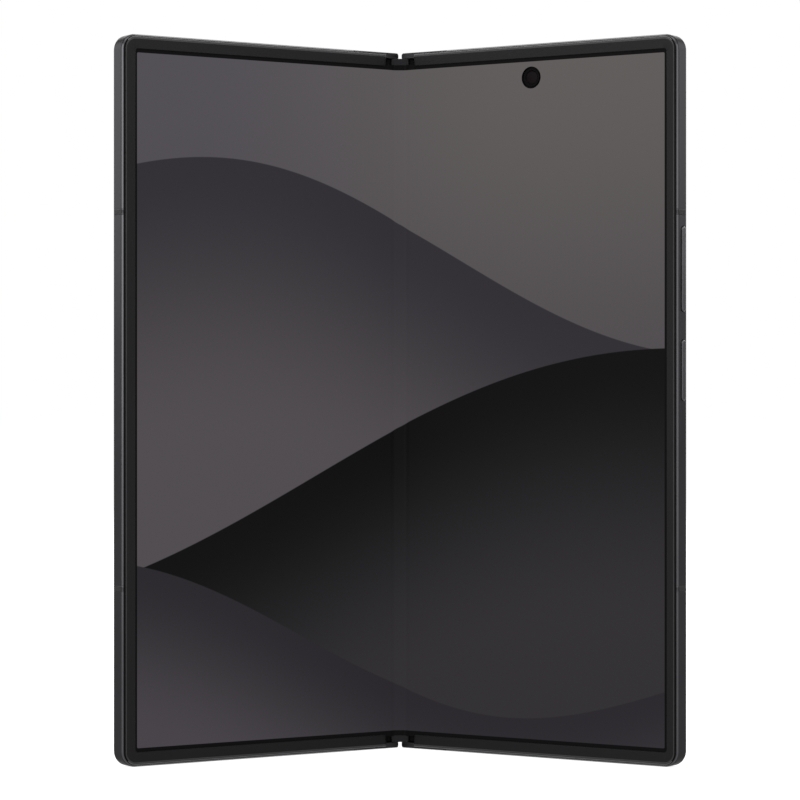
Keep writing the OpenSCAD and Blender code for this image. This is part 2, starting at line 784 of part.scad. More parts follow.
module tray_outline(grow) {
    r = tray_face / 2 + grow;
    half = tray_width / 2 + grow - r;
    translate([tray_u - half, tray_w - r]) square([2 * half, 2 * r]);
    for (s = [-1, 1]) translate([tray_u + s * half, tray_w]) circle(r);
}
module sim_tray() {
    inner = tray_width / 2 - tray_side;
    back = tray_w - tray_thick / 2;
    front = tray_w + tray_thick / 2;
    color([0.30, 0.30, 0.32]) on_left() {
        translate([0, 0, body_height - wall - 0.3]) linear_extrude(wall + 0.3) tray_outline(0);
        difference() {
            block([tray_u - inner, tray_u + inner], [back, front],
                [body_height - wall - tray_long, body_height - wall]);
            block([tray_u - inner + tray_rim, tray_u + inner - tray_rim], [back + tray_floor, front + 1],
                [body_height - wall - tray_long + tray_rim, body_height - wall - 3]);
        }
    }
}
module sim_reader() {
    half = tray_width / 2 + 0.3;
    top = body_height - wall - 0.7;
    color([0.72, 0.72, 0.74]) on_left() difference() {
        block([tray_u - half, tray_u + half], [bed, cover_panel_front - 0.1],
            [top - tray_long - 1.2, top]);
        block([tray_u - tray_width / 2 + 0.9, tray_u + tray_width / 2 - 0.9],
            [tray_w - 0.6, tray_w + 0.6], [top - tray_long - 0.4, top + 1]);
    }
}

// ---- Hinge ----

// The section between two circles about the fold axis, from angle a0 to a1
module arc_section(r0, r1, a0, a1) {
    reach = 2 * r1;
    translate([axis_x, axis_y]) intersection() {
        difference() {
            circle(r1);
            circle(r0);
        }
        polygon([[0, 0], reach * [cos(a0), sin(a0)], reach * [cos((a0 + a1) / 2), sin((a0 + a1) / 2)],
            reach * [cos(a1), sin(a1)]]);
    }
}

// A swing arm is fixed to its half and slides on the hinge block along an arc about the fold axis
module swing_arms() {
    root_angle = asin((arm_front - axis_y) / tongue_in);
    for (c = hinge_zs, s = [-1, 1]) {
        low = s > 0 ? c + arm_low : c - arm_high;
        difference() {
            translate([0, 0, low]) linear_extrude(arm_high - arm_low) {
                arc_section(tongue_in, tongue_out, root_angle, tongue_end);
                polygon([[axis_x + tongue_in, arm_front], [arm_out, arm_front], [arm_out, arm_back],
                    [axis_x + tongue_in - 0.1, arm_back]]);
            }
            translate([axis_x, axis_y, low - 1]) cylinder(r = tongue_in, h = arm_high);
            rod(arm_screw_u, low + (arm_high - arm_low) / 2, screw_r + 0.05, 0, 3);
        }
    }
}
module arm_screws() {
    for (c = hinge_zs, s = [-1, 1]) {
        z = c + s * (arm_low + arm_high) / 2;
        rod(arm_screw_u, z, screw_head_r, mid_front + 0.01, arm_front);
        rod(arm_screw_u, z, screw_r, arm_front, 2.8);
    }
}
module right_swing_arms() { color([0.62, 0.62, 0.64]) on_right() swing_arms(); }
module left_swing_arms() { color([0.62, 0.62, 0.64]) on_left() swing_arms(); }
module right_arm_screws() { color([0.55, 0.55, 0.57]) on_right() arm_screws(); }
module left_arm_screws() { color([0.55, 0.55, 0.57]) on_left() arm_screws(); }

// The outline of the spine at a distance r from the fold axes, behind the depth y0
module spine_outline(r, y0) {
    intersection() {
        union() {
            for (s = [-1, 1]) translate([s * axis_x, axis_y]) circle(r);
            translate([-axis_x, axis_y - r]) square([2 * axis_x, 2 * r]);
        }
        translate([-far / 2, y0]) square([far, far]);
    }
}
module spine_cover() {
    rim = axis_y + spine_radius * sin(rim_angle);
    color([0.24, 0.24, 0.26]) on_spine() translate([0, 0, spine_low])
        linear_extrude(spine_high - spine_low) difference() {
            spine_outline(spine_radius, rim);
            spine_outline(cover_inner, -far / 2);
        }
}
module spine_end_caps() {
    face_half = 2.1;
    face = 0.2;
    round = 0.4;
    color([0.16, 0.16, 0.17]) on_spine() for (z = [spine_low, spine_high - cap_thick])
        translate([0, 0, z]) linear_extrude(cap_thick) {
            spine_outline(cover_inner - 0.02, axis_y);
            round_box(-face_half, face_half, face, axis_y + 1, round);
        }
}
module hinge_bases() {
    color([0.50, 0.50, 0.52]) on_spine() for (c = hinge_zs) difference() {
        union() {
            for (s = [-1, 1]) {
                edge = s > 0 ? c + hinge_half - block_end_wall : c - hinge_half;
                translate([0, 0, edge]) linear_extrude(block_end_wall)
                    spine_outline(block_radius, block_top);
                wall_low = s > 0 ? c + gear_room : c - gear_room - module_wall;
                translate([0, 0, wall_low]) linear_extrude(module_wall)
                    spine_outline(block_radius, block_top);
            }
            translate([0, 0, c - hinge_half]) linear_extrude(hinge_length)
                spine_outline(boss_radius, block_top);
            block([-axis_x, axis_x], [block_top, axis_y + block_radius], [c - hinge_half, c + hinge_half]);
        }
        block([-5, 5], [0, gear_y + 0.75], [c - gear_room, c + gear_room]);
        block([axis_x + 0.05, 5], [0, 9], [c - gear_room, c + gear_room]);
        block([-5, -axis_x - 0.05], [0, 9], [c - gear_room, c + gear_room]);
        for (i = [-1.5:1:1.5]) translate([2 * i * gear_pitch_r, gear_y, c - hinge_half + 4])
            cylinder(r = shaft_r + shaft_gap, h = hinge_length - 8);
    }
}

// A straight-sided gear outline with a tooth along +X after turning by phase
module gear_outline(phase) {
    pitch = 360 / gear_teeth;
    root = gear_pitch_r - 0.14;
    tip = gear_pitch_r + 0.1;
    foot = 0.26 * pitch;
    head = 0.1 * pitch;
    tooth = [[root, -foot], [tip, -head], [tip, head], [root, foot]];
    rotate(phase) polygon([for (i = [0:gear_teeth - 1], q = tooth)
        q[0] * [cos(i * pitch + q[1]), sin(i * pitch + q[1])]]);
}
module gear_and_shaft(x, c, phase) {
    translate([x, gear_y, c - gear_half]) linear_extrude(2 * gear_half) gear_outline(phase);
    translate([x, gear_y, c - shaft_half]) cylinder(r = shaft_r, h = 2 * shaft_half);
}
half_tooth = 180 / gear_teeth;
module idler_gears(x, phase) { for (c = hinge_zs) gear_and_shaft(x, c, phase); }

// A sync arm turns on its shaft in the hinge block, and its plate slides in the half
module sync_arms(phase) {
    for (c = hinge_zs) {
        gear_and_shaft(sync_x, c, phase);
        turn_about(sync_x, gear_y, -rest_turn) {
            for (z = [c - knuckle_high, c + knuckle_low]) translate([sync_x, gear_y, z])
                cylinder(r = knuckle_r, h = knuckle_high - knuckle_low);
            difference() {
                block([sync_x, arm_out], [sync_front, sync_back], [c - knuckle_high, c + knuckle_high]);
                block([0, sync_x + 0.75], [0, 4], [c - knuckle_low, c + knuckle_low]);
            }
        }
    }
}
module right_sync_arms() { color([0.66, 0.66, 0.68]) on_spine() sync_arms(half_tooth); }
module left_sync_arms() { color([0.66, 0.66, 0.68]) on_spine() mirror([1, 0, 0]) sync_arms(0); }
module right_idler_gears() { color([0.70, 0.68, 0.60]) on_spine() idler_gears(gear_pitch_r, 0); }
module left_idler_gears() { color([0.70, 0.68, 0.60]) on_spine() idler_gears(-gear_pitch_r, half_tooth); }

// Coil springs beyond the hinge blocks that press the detents; each is one turned solid of wire turns
module detent_springs() {
    turns = 7;
    pitch = 0.6;
    outer = 0.6;
    valley = 0.45;
    inner = 0.3;
    color([0.75, 0.75, 0.77]) on_spine() for (c = hinge_zs, s = [-1, 1]) {
        low = c > body_height / 2 ? c - hinge_half - 0.2 - turns * pitch : c + hinge_half + 0.2;
        translate([s * 1.1, gear_y + 0.1, low]) rotate_extrude() polygon(concat(
            [[inner, 0]],
            [for (i = [0:turns - 1], q = [[valley, 0], [outer, 0.5]]) [q[0], (i + q[1]) * pitch]],
            [[valley, turns * pitch], [inner, turns * pitch]]));
    }
}

right_frame();
right_antenna_breaks();
right_bezel();
right_display();
right_support_plate();
rear_glass();
camera_island();
camera_rings();
camera_lens_glasses();
camera_modules();
flash_lens();
main_board();
board_shields();
board_screws();
right_battery();
charging_coil();
usb_port();
usb_tongue();
charging_board();
loudspeaker();
vibration_motor();
inner_camera();
key_switch_board();
right_swing_arms();
right_arm_screws();
right_magnets();
volume_key();
power_key();
left_frame();
left_antenna_breaks();
left_bezel();
left_display();
left_support_plate();
cover_glass();
cover_display();
cover_camera();
left_battery();
left_board();
left_shields();
left_board_screws();
earpiece();
sim_reader();
left_swing_arms();
left_arm_screws();
left_magnets();
sim_tray();
spine_cover();
spine_end_caps();
hinge_bases();
fold_display();
flex_cable();
right_sync_arms();
left_sync_arms();
right_idler_gears();
left_idler_gears();
detent_springs();
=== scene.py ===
import json
import logging
import math
from dataclasses import dataclass
from enum import Enum
from typing import Callable, ClassVar, Sequence

import bmesh
import bpy
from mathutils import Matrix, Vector


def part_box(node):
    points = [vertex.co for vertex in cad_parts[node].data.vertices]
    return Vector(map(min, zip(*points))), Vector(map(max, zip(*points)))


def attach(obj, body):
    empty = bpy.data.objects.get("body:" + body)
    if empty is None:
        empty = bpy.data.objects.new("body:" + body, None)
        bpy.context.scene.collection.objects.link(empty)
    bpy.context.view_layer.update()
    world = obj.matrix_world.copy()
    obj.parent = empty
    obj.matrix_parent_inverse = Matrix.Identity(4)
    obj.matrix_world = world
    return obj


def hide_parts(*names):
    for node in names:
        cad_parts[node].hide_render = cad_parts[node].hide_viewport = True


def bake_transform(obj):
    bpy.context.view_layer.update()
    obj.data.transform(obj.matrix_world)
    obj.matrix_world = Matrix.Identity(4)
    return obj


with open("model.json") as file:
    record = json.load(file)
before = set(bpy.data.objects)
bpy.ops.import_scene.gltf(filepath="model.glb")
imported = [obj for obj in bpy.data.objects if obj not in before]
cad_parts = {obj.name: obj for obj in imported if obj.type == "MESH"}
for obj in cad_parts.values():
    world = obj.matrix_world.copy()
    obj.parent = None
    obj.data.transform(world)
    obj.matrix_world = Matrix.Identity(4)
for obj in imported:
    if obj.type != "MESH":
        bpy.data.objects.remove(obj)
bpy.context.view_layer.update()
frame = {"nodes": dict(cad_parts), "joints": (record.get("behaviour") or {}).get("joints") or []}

log = logging.getLogger("folding_phone")

MM = 0.001
WHITE = (1.0, 1.0, 1.0, 1.0)
SURFACE_MAP = "Surface"
WELD_REACH = 2e-7
FLAT_ANGLE = math.radians(0.4)
CRISP_ANGLE = math.radians(25.0)
SCORE_REACH = 1e-7
Pair = tuple[float, float]
Colour = tuple[float, float, float]
FlatPoint = tuple[float, float, float]
Object = bpy.types.Object
Tree = bpy.types.NodeTree
Node = bpy.types.Node
Socket = bpy.types.NodeSocket
Feed = Socket | float | tuple | None
Mesh = bmesh.types.BMesh
Vert = bmesh.types.BMVert
Face = bmesh.types.BMFace


class Side(Enum):
    """The two halves of the phone, as the sign of X on which each lies."""

    RIGHT = 1
    LEFT = -1

    @property
    def body(self) -> str:
        """Name of the CAD body that carries this half."""
        return "right_half" if self is Side.RIGHT else "left_half"

    @property
    def word(self) -> str:
        """Prefix of this half's pieces and nodes."""
        return self.name.lower()


# ---- layout


@dataclass(frozen=True)
class Layout:
    """Carries places on a flat half into the row frame.

    A flat place is (u, w, z) in millimetres: u outward from the middle of the spine, w deep from the
    front face, and z up.
    """

    axis_u: float
    axis_w: float
    spine_y: float
    turn: float
    half_width: float = 71.6
    body_height: float = 158.4
    body_depth: float = 4.2
    corner: float = 3.4
    settle_steps: int = 60

    @classmethod
    def from_frame(cls) -> "Layout":
        """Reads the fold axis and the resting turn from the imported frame's joint.

        Returns:
            The layout of both halves.
        """
        fold = next(j for j in frame["joints"] if j["name"] == "right_fold")
        axis_w = 0.925
        x, y, _ = fold["pos_m"]
        return cls(
            axis_u=x / MM,
            axis_w=axis_w,
            spine_y=y / MM - axis_w,
            turn=math.radians(max(fold["range_deg"])),
        )

    def bent(self, u: float, w: float, share: float) -> Pair:
        """Turns a flat place about the fold axis by a share of the resting turn.

        Args:
            u: Distance from the middle of the spine, in millimetres.
            w: Depth, in millimetres.
            share: 0 for flat, 1 for the full resting turn.

        Returns:
            X and Y in the row frame for the right half, in millimetres.
        """
        angle = self.turn * share
        across, deep = u - self.axis_u, w - self.axis_w
        x = self.axis_u + across * math.cos(angle) + deep * math.sin(angle)
        y = self.axis_w - across * math.sin(angle) + deep * math.cos(angle)
        return x, y + self.spine_y

    def place(self, side: Side, u: float, w: float, z: float) -> Vector:
        """Gives a flat place's point in the row frame, in metres."""
        x, y = self.bent(u, w, 1.0)
        return Vector((side.value * x, y, z)) * MM

    def along(self, side: Side, u: float, w: float) -> Vector:
        """Gives a flat direction in the row frame, in metres."""
        return self.place(side, u, w, 0) - self.place(side, 0, 0, 0)

    def flat(self, side: Side, point: Vector) -> FlatPoint:
        """Gives back the flat place of a point.

        Args:
            side: The half that the point lies on.
            point: The point in the row frame, in metres.

        Returns:
            Its flat place.
        """
        across = side.value * point.x / MM - self.axis_u
        deep = point.y / MM - self.spine_y - self.axis_w
        u = across * math.cos(self.turn) - deep * math.sin(self.turn)
        w = across * math.sin(self.turn) + deep * math.cos(self.turn)
        return u + self.axis_u, w + self.axis_w, point.z / MM

    def inside(self, u: float, z: float) -> float:
        """Gives how far a flat place lies inside the half's outline, round corners included.

        Args:
            u: Distance from the middle of the spine.
            z: Height.

        Returns:
            The distance, below 0 outside.
        """
        across = self.half_width - u
        up = min(z, self.body_height - z)
        if across < self.corner and up < self.corner:
            return self.corner - math.hypot(self.corner - across, self.corner - up)
        return min(across, up)

    def at_rest(self, u: float, w: float, reach_x: float) -> Pair:
        """Finds where a place on a bending sheet lies at rest: its own X gives its share of the turn.

        Args:
            u: Flat distance from the middle of the spine, in millimetres.
            w: Depth, in millimetres.
            reach_x: X in the row frame at which the bend ends, in millimetres.

        Returns:
            X and Y in the row frame for the right half, in millimetres.
        """
        share = smooth_step(u / reach_x)
        for _ in range(self.settle_steps):
            share = smooth_step(self.bent(u, w, share)[0] / reach_x)
        return self.bent(u, w, share)


def smooth_step(t: float) -> float:
    """Eases a number from 0 to 1 with level ends."""
    t = min(max(t, 0.0), 1.0)
    return t * t * (3 - 2 * t)


LAYOUT = Layout.from_frame()


# ---- shader helpers


class Sheet:
    """Adds and joins the nodes of one shader tree."""

    def __init__(self, tree: Tree) -> None:
        """Keeps the tree that nodes are added to."""
        self.tree = tree

    def node(self, kind: str, **settings: object) -> Node:
        """Adds a node.

        Args:
            kind: The node's type.
            **settings: Its properties.

        Returns:
            The node.
        """
        made = self.tree.nodes.new(kind)
        for key, value in settings.items():
            setattr(made, key, value)
        return made

    def put(self, socket: Socket, value: Feed) -> None:
        """Links a socket to another, or writes a plain value on it.

        Args:
            socket: The input socket.
            value: What feeds it, or None to leave it.
        """
        if isinstance(value, Socket):
            self.tree.links.new(value, socket)
        elif value is not None:
            socket.default_value = value

    def fill_in(self, made: Node, *values: Feed) -> Node:
        """Feeds a node's first inputs in order.

        Args:
            made: The node.
            *values: What feeds them.

        Returns:
            The node.
        """
        for socket, value in zip(made.inputs, values):
            self.put(socket, value)
        return made

    def math(self, operation: str, a: Feed, b: Feed = None) -> Socket:
        """Adds a Math node."""
        return self.fill_in(self.node("ShaderNodeMath", operation=operation), a, b).outputs[0]

    def ramp(self, value: Feed, low: Feed, high: Feed, start: Feed = 0.0, end: Feed = 1.0,
             smooth: bool = True) -> Socket:
        """Maps a value from low..high to start..end, clamped.

        Args:
            value: The value to map.
            low: Where the ramp starts.
            high: Where the ramp ends.
            start: What it gives at low.
            end: What it gives at high.
            smooth: Whether the ramp has level ends.

        Returns:
            The mapped value.
        """
        kind = "SMOOTHSTEP" if smooth else "LINEAR"
        made = self.node("ShaderNodeMapRange", interpolation_type=kind)
        return self.fill_in(made, value, low, high, start, end).outputs[0]

    def mix(self, factor: Feed, a: Feed, b: Feed) -> Socket:
        """Mixes two colours.

        Args:
            factor: How much of the second colour shows.
            a: The first colour.
            b: The second colour.

        Returns:
            The mixed colour.
        """
        made = self.node("ShaderNodeMix", data_type="RGBA")
        for number, value in ((0, factor), (6, solid(a)), (7, solid(b))):
            self.put(made.inputs[number], value)
        return made.outputs[2]

    def noise(self, vector: Feed, scale: Feed, detail: float = 3.0, rough: float = 0.5) -> Socket:
        """Adds a noise texture.

        Args:
            vector: Where it is looked up.
            scale: Patches for each unit.
            detail: Octaves of finer noise.
            rough: How strong the finer octaves are.

        Returns:
            The noise's grey value.
        """
        made = self.node("ShaderNodeTexNoise")
        fed = {"Vector": vector, "Scale": scale, "Detail": detail, "Roughness": rough}
        for key, value in fed.items():
            self.put(made.inputs[key], value)
        return made.outputs[0]

    def place(self) -> Socket:
        """Gives the surface's place in the piece's own metres."""
        return self.node("ShaderNodeTexCoord").outputs["Object"]

    def split(self, vector: Feed) -> list[Socket]:
        """Splits a vector into its three parts."""
        return list(self.fill_in(self.node("ShaderNodeSeparateXYZ"), vector).outputs)

    def scaled(self, vector: Feed, scale: tuple) -> Socket:
        """Scales a vector part by part."""
        made = self.node("ShaderNodeVectorMath", operation="MULTIPLY")
        return self.fill_in(made, vector, scale).outputs[0]

    def effect(self, kind: type["Effect"], **values: Feed) -> Node:
        """Places a shared effect.

        Args:
            kind: Which effect.
            **values: Its own values, by input.

        Returns:
            The effect's node.
        """
        made = self.node("ShaderNodeGroup", node_tree=kind.group())
        for key, value in values.items():
            self.put(made.inputs[key], value)
        return made

    def seen(self) -> Socket:
        """Marks what the camera sees itself, in a gloss or through glass.

        Returns:
            1 for such a ray and 0 for the light that falls on things.
        """
        path = self.node("ShaderNodeLightPath").outputs
        seen = self.math("ADD", path["Is Camera Ray"], path["Is Glossy Ray"])
        return self.math("MINIMUM", self.math("ADD", seen, path["Is Transmission Ray"]), 1.0)


class Coat(Sheet):
    """The tree of one material, with its Principled BSDF."""

    def __init__(self, tree: Tree) -> None:
        """Keeps the tree and finds its shader."""
        super().__init__(tree)
        self.inputs = tree.nodes["Principled BSDF"].inputs

    def set(self, name: str, value: Feed) -> None:
        """Feeds one of the shader's inputs, or writes a plain value on it."""
        self.put(self.inputs[name], value)

    def fed(self, name: str) -> Socket:
        """Gives what feeds one of the shader's inputs."""
        return self.inputs[name].links[0].from_socket

    def bump(self, height: Feed, distance: float) -> None:
        """Raises the surface, over any bump that it has already.

        Args:
            height: The height, from 0 to 1.
            distance: What a height of 1 measures, in metres.
        """
        made = self.node("ShaderNodeBump")
        self.put(made.inputs["Distance"], distance)
        self.put(made.inputs["Height"], height)
        if self.inputs["Normal"].is_linked:
            self.put(made.inputs["Normal"], self.fed("Normal"))
        self.set("Normal", made.outputs[0])


def solid(value: Feed) -> Feed:
    """Gives a colour of three numbers its fourth."""
    return (*value, 1.0) if isinstance(value, tuple) and len(value) == 3 else value


def scale_colour(colour: Colour, by: float) -> Colour:
    """Brightens or darkens a colour."""
    return tuple(min(part * by, 1.0) for part in colour)


class Effect(Sheet):
    """A shader effect that several materials share, built once as a node group."""

    name: ClassVar[str]
    inputs: ClassVar[dict[str, float]]
    built: ClassVar[dict[str, Tree]] = {}

    @classmethod
    def group(cls) -> Tree:
        """Gives the effect's node group, building it the first time.

        Returns:
            The node group.
        """
        if cls.name not in cls.built:
            tree = cls.built[cls.name] = bpy.data.node_groups.new(cls.name, "ShaderNodeTree")
            for label, value in cls.inputs.items():
                made = tree.interface.new_socket(name=label, in_out="INPUT", socket_type="NodeSocketFloat")
                made.default_value = value
            sheet = cls(tree)
            given = sheet.fill(sheet.node("NodeGroupInput").outputs)
            for label in given:
                tree.interface.new_socket(name=label, in_out="OUTPUT", socket_type="NodeSocketFloat")
            end = sheet.node("NodeGroupOutput")
            for label, socket in given.items():
                sheet.put(end.inputs[label], socket)
        return cls.built[cls.name]

    def fill(self, fed: dict[str, Socket]) -> dict[str, Socket]:
        """Adds the effect's nodes.

        Args:
            fed: The group's inputs, by name.

        Returns:
            What feeds each of the group's outputs, by name.
        """
        raise NotImplementedError


class EdgeWear(Effect):
    """A mask of the outer edges, broken up as handling wears them."""

    name = "edge_wear"
    inputs = {"Radius": 0.00015, "Patch Scale": 90.0, "Amount": 0.5}

    def fill(self, fed: dict[str, Socket]) -> dict[str, Socket]:
        """Finds the edges by a rounded normal.

        Args:
            fed: The group's inputs, by name.

        Returns:
            The mask.
        """
        bevel = self.node("ShaderNodeBevel", samples=4)
        self.put(bevel.inputs["Radius"], fed["Radius"])
        facing = self.node("ShaderNodeVectorMath", operation="DOT_PRODUCT")
        self.fill_in(facing, bevel.outputs[0], self.node("ShaderNodeNewGeometry").outputs["Normal"])
        edge = self.ramp(facing.outputs["Value"], 0.995, 0.9)
        patches = self.ramp(self.noise(self.place(), fed["Patch Scale"], 4.0, 0.6), 0.35, 0.65)
        worn = self.math("MULTIPLY", edge, patches)
        return {"Mask": self.math("MULTIPLY", worn, fed["Amount"])}


class FineGrain(Effect):
    """The height of a fine grain, and a slow variation that is even on average."""

    name = "fine_grain"
    inputs = {"Scale": 9000.0, "Cloud Scale": 60.0}

    def fill(self, fed: dict[str, Socket]) -> dict[str, Socket]:
        """Adds a fine noise and a broad one.

        Args:
            fed: The group's inputs, by name.

        Returns:
            The height and the variation.
        """
        place = self.place()
        fine = self.noise(place, fed["Scale"], 2.0, 0.6)
        broad = self.noise(place, fed["Cloud Scale"], 3.0, 0.55)
        return {"Height": fine, "Variation": self.math("SUBTRACT", broad, 0.5)}


class Smudges(Effect):
    """A mask of faint marks left by fingers and cloth on glass."""

    name = "smudges"
    inputs = {"Scale": 28.0, "Amount": 1.0}

    def fill(self, fed: dict[str, Socket]) -> dict[str, Socket]:
        """Breaks up wiped streaks by spots.

        Args:
            fed: The group's inputs, by name.

        Returns:
            The mask.
        """
        place = self.place()
        spots = self.ramp(self.noise(place, fed["Scale"], 5.0, 0.7), 0.48, 0.72)
        wiped = self.noise(self.scaled(place, (40.0, 40.0, 700.0)), 1.0, 3.0, 0.6)
        marks = self.math("MULTIPLY", spots, self.ramp(wiped, 0.3, 0.75))
        return {"Mask": self.math("MULTIPLY", marks, fed["Amount"])}


class Brushed(Effect):
    """The height of straight brush lines that run up the phone."""

    name = "brushed"
    inputs = {"Scale": 7000.0, "Stretch": 0.03}

    def fill(self, fed: dict[str, Socket]) -> dict[str, Socket]:
        """Stretches a fine noise upward.

        Args:
            fed: The group's inputs, by name.

        Returns:
            The height.
        """
        x, y, z = self.split(self.place())
        stretched = self.math("MULTIPLY", z, fed["Stretch"])
        along = self.fill_in(self.node("ShaderNodeCombineXYZ"), x, y, stretched)
        return {"Height": self.noise(along.outputs[0], fed["Scale"], 3.0, 0.6)}


class Turned(Effect):
    """The height of the circles that a lathe leaves, across a turned piece's own map."""

    name = "turned"
    inputs = {"Lines": 9000.0}

    def fill(self, fed: dict[str, Socket]) -> dict[str, Socket]:
        """Repeats a wave across the map."""
        across = self.split(self.node("ShaderNodeUVMap", uv_map=SURFACE_MAP).outputs[0])[1]
        return {"Height": self.math("SINE", self.math("MULTIPLY", across, fed["Lines"]))}


# ---- finishes


@dataclass(frozen=True)
class Finish:
    """A material with a name, a base colour and a roughness."""

    name: str
    colour: Colour
    roughness: float = 0.4
    made: ClassVar[dict[str, bpy.types.Material]] = {}

    def material(self) -> bpy.types.Material:
        """Gives the finish's material, building it the first time.

        Returns:
            The material.
        """
        if self.name in self.made:
            return self.made[self.name]
        made = self.made[self.name] = bpy.data.materials.new(self.name)
        made.use_nodes = True
        made.diffuse_color = solid(self.colour)
        self.dress(Coat(made.node_tree))
        return made

    def shade(self, by: float) -> Colour:
        """Gives the base colour, brighter or darker."""
        return scale_colour(self.colour, by)

    def dress(self, coat: Coat) -> None:
        """Fills in the material's nodes; each kind of finish has its own."""
        raise NotImplementedError

    def grain(self, coat: Coat, scale: float, depth: float, swing: float, cloud: float = 60.0) -> Socket:
        """Adds the fine grain that many finishes have.

        Args:
            coat: The material's tree.
            scale: Grains for each metre.
            depth: Height of the grain, in metres.
            swing: How far the roughness strays either way.
            cloud: Patches for each metre of the slow variation.

        Returns:
            The slow variation, even about 0.
        """
        grain = coat.effect(FineGrain, **{"Scale": scale, "Cloud Scale": cloud})
        coat.bump(grain.outputs["Height"], depth)
        stray = coat.math("MULTIPLY", grain.outputs["Variation"], 2 * swing)
        coat.set("Roughness", coat.math("ADD", stray, self.roughness))
        return grain.outputs["Variation"]

    def tones(self, coat: Coat, factor: Feed, low: float, high: float) -> None:
        """Colours the surface between two shades of the base colour."""
        coat.set("Base Color", coat.mix(factor, self.shade(low), self.shade(high)))

    def handled(self, coat: Coat, cloud: Feed, swing: float, bright: float, worn: Node) -> None:
        """Colours the surface by its slow variation, and brighter where its edges are handled.

        Args:
            coat: The material's tree.
            cloud: The slow variation.
            swing: How far the colour strays either way, as a share.
            bright: How much brighter a worn edge is.
            worn: The edge wear's node.
        """
        body = coat.mix(coat.ramp(cloud, -0.3, 0.3), self.shade(1 - swing), self.shade(1 + swing))
        coat.set("Base Color", coat.mix(worn.outputs["Mask"], body, self.shade(bright)))


@dataclass(frozen=True)
class SatinMetal(Finish):
    """Blasted and anodised metal, a little brighter where its edges are handled."""

    grain_scale: float = 9000.0
    grain_depth: float = 0.000004
    wear: float = 0.35
    wear_radius: float = 0.00015
    grazing: float = 1.0

    def dress(self, coat: Coat) -> None:
        """Fills in the metal's nodes.

        Args:
            coat: The material's tree.
        """
        coat.set("Metallic", 1.0)
        coat.set("Specular Tint", (self.grazing, self.grazing, self.grazing, 1.0))
        cloud = self.grain(coat, self.grain_scale, self.grain_depth, swing=0.05)
        worn = coat.effect(EdgeWear, Radius=self.wear_radius, Amount=self.wear)
        self.handled(coat, cloud, 0.06, 1.9, worn)


@dataclass(frozen=True)
class TurnedMetal(SatinMetal):
    """Metal turned on a lathe, with fine circles round the axis."""

    lines: float = 9000.0
    line_depth: float = 0.000006

    def dress(self, coat: Coat) -> None:
        """Adds the circles to the satin metal.

        Args:
            coat: The material's tree.
        """
        super().dress(coat)
        circles = coat.effect(Turned, Lines=self.lines)
        coat.bump(circles.outputs["Height"], self.line_depth)


@dataclass(frozen=True)
class BrushedMetal(Finish):
    """Plain metal with straight brush lines."""

    depth: float = 0.000006

    def dress(self, coat: Coat) -> None:
        """Fills in the metal's nodes.

        Args:
            coat: The material's tree.
        """
        coat.set("Metallic", 1.0)
        lines = coat.effect(Brushed).outputs["Height"]
        coat.bump(lines, self.depth)
        low, high = self.roughness - 0.07, self.roughness + 0.07
        coat.set("Roughness", coat.ramp(lines, 0.3, 0.7, low, high))
        self.tones(coat, lines, 0.85, 1.0)


@dataclass(frozen=True)
class Moulded(Finish):
    """Moulded polymer with a fine spark-eroded grain."""

    grain_scale: float = 7000.0
    grain_depth: float = 0.000008
    specular: float = 0.5

    def dress(self, coat: Coat) -> None:
        """Fills in the polymer's nodes.

        Args:
            coat: The material's tree.
        """
        coat.set("Specular IOR Level", self.specular)
        cloud = self.grain(coat, self.grain_scale, self.grain_depth, swing=0.06, cloud=90.0)
        worn = coat.effect(EdgeWear, Radius=0.00012, Amount=0.25)
        self.handled(coat, cloud, 0.1, 1.8, worn)


@dataclass(frozen=True)
class EtchedGlass(Finish):
    """Glass with a finely etched matt face over a dark film."""

    def dress(self, coat: Coat) -> None:
        """Fills in the glass's nodes.

        Args:
            coat: The material's tree.
        """
        coat.set("Specular IOR Level", 0.3)
        self.grain(coat, scale=12000.0, depth=0.0000025, swing=0.03, cloud=25.0)
        marks = coat.effect(Smudges, Amount=0.5).outputs["Mask"]
        polish = coat.math("MULTIPLY", marks, 0.12)
        coat.set("Roughness", coat.math("SUBTRACT", coat.fed("Roughness"), polish))
        self.tones(coat, coat.noise(coat.place(), 14.0, 2.0), 0.92, 1.12)


@dataclass(frozen=True)
class ClearGlass(Finish):
    """Polished clear glass with a coating against reflections, and faint marks of handling."""

    index: float = 1.25

    def dress(self, coat: Coat) -> None:
        """Fills in the glass's nodes.

        Args:
            coat: The material's tree.
        """
        coat.set("Base Color", solid(self.colour))
        coat.set("Transmission Weight", 1.0)
        coat.set("IOR", self.index)
        marks = coat.effect(Smudges, Amount=0.3).outputs["Mask"]
        hazy = self.roughness + 0.04
        coat.set("Roughness", coat.ramp(marks, 0.0, 1.0, self.roughness, hazy))


@dataclass(frozen=True)
class CoatedLens(Finish):
    """A deep lens element whose base colour turns to another tint at its rim: a painted coating reflection.
    """

    rim: Colour = (0.02, 0.03, 0.08)
    film: float = 420.0
    specular: float = 0.7
    coat: float = 1.0

    def dress(self, coat: Coat) -> None:
        """Fills in the lens's nodes.

        Args:
            coat: The material's tree.
        """
        coat.set("Specular IOR Level", self.specular)
        coat.set("Thin Film Thickness", self.film)
        coat.set("Coat Weight", self.coat)
        coat.set("Coat Roughness", 0.02)
        turn = coat.node("ShaderNodeLayerWeight")
        coat.put(turn.inputs["Blend"], 0.35)
        # The tint at the rim is a painted coating reflection.
        coat.set("Base Color", coat.mix(turn.outputs["Facing"], self.colour, self.rim))
        dust, dusty = coat.noise(coat.place(), 2500.0, 2.0), self.roughness + 0.1
        coat.set("Roughness", coat.ramp(dust, 0.6, 0.8, self.roughness, dusty))


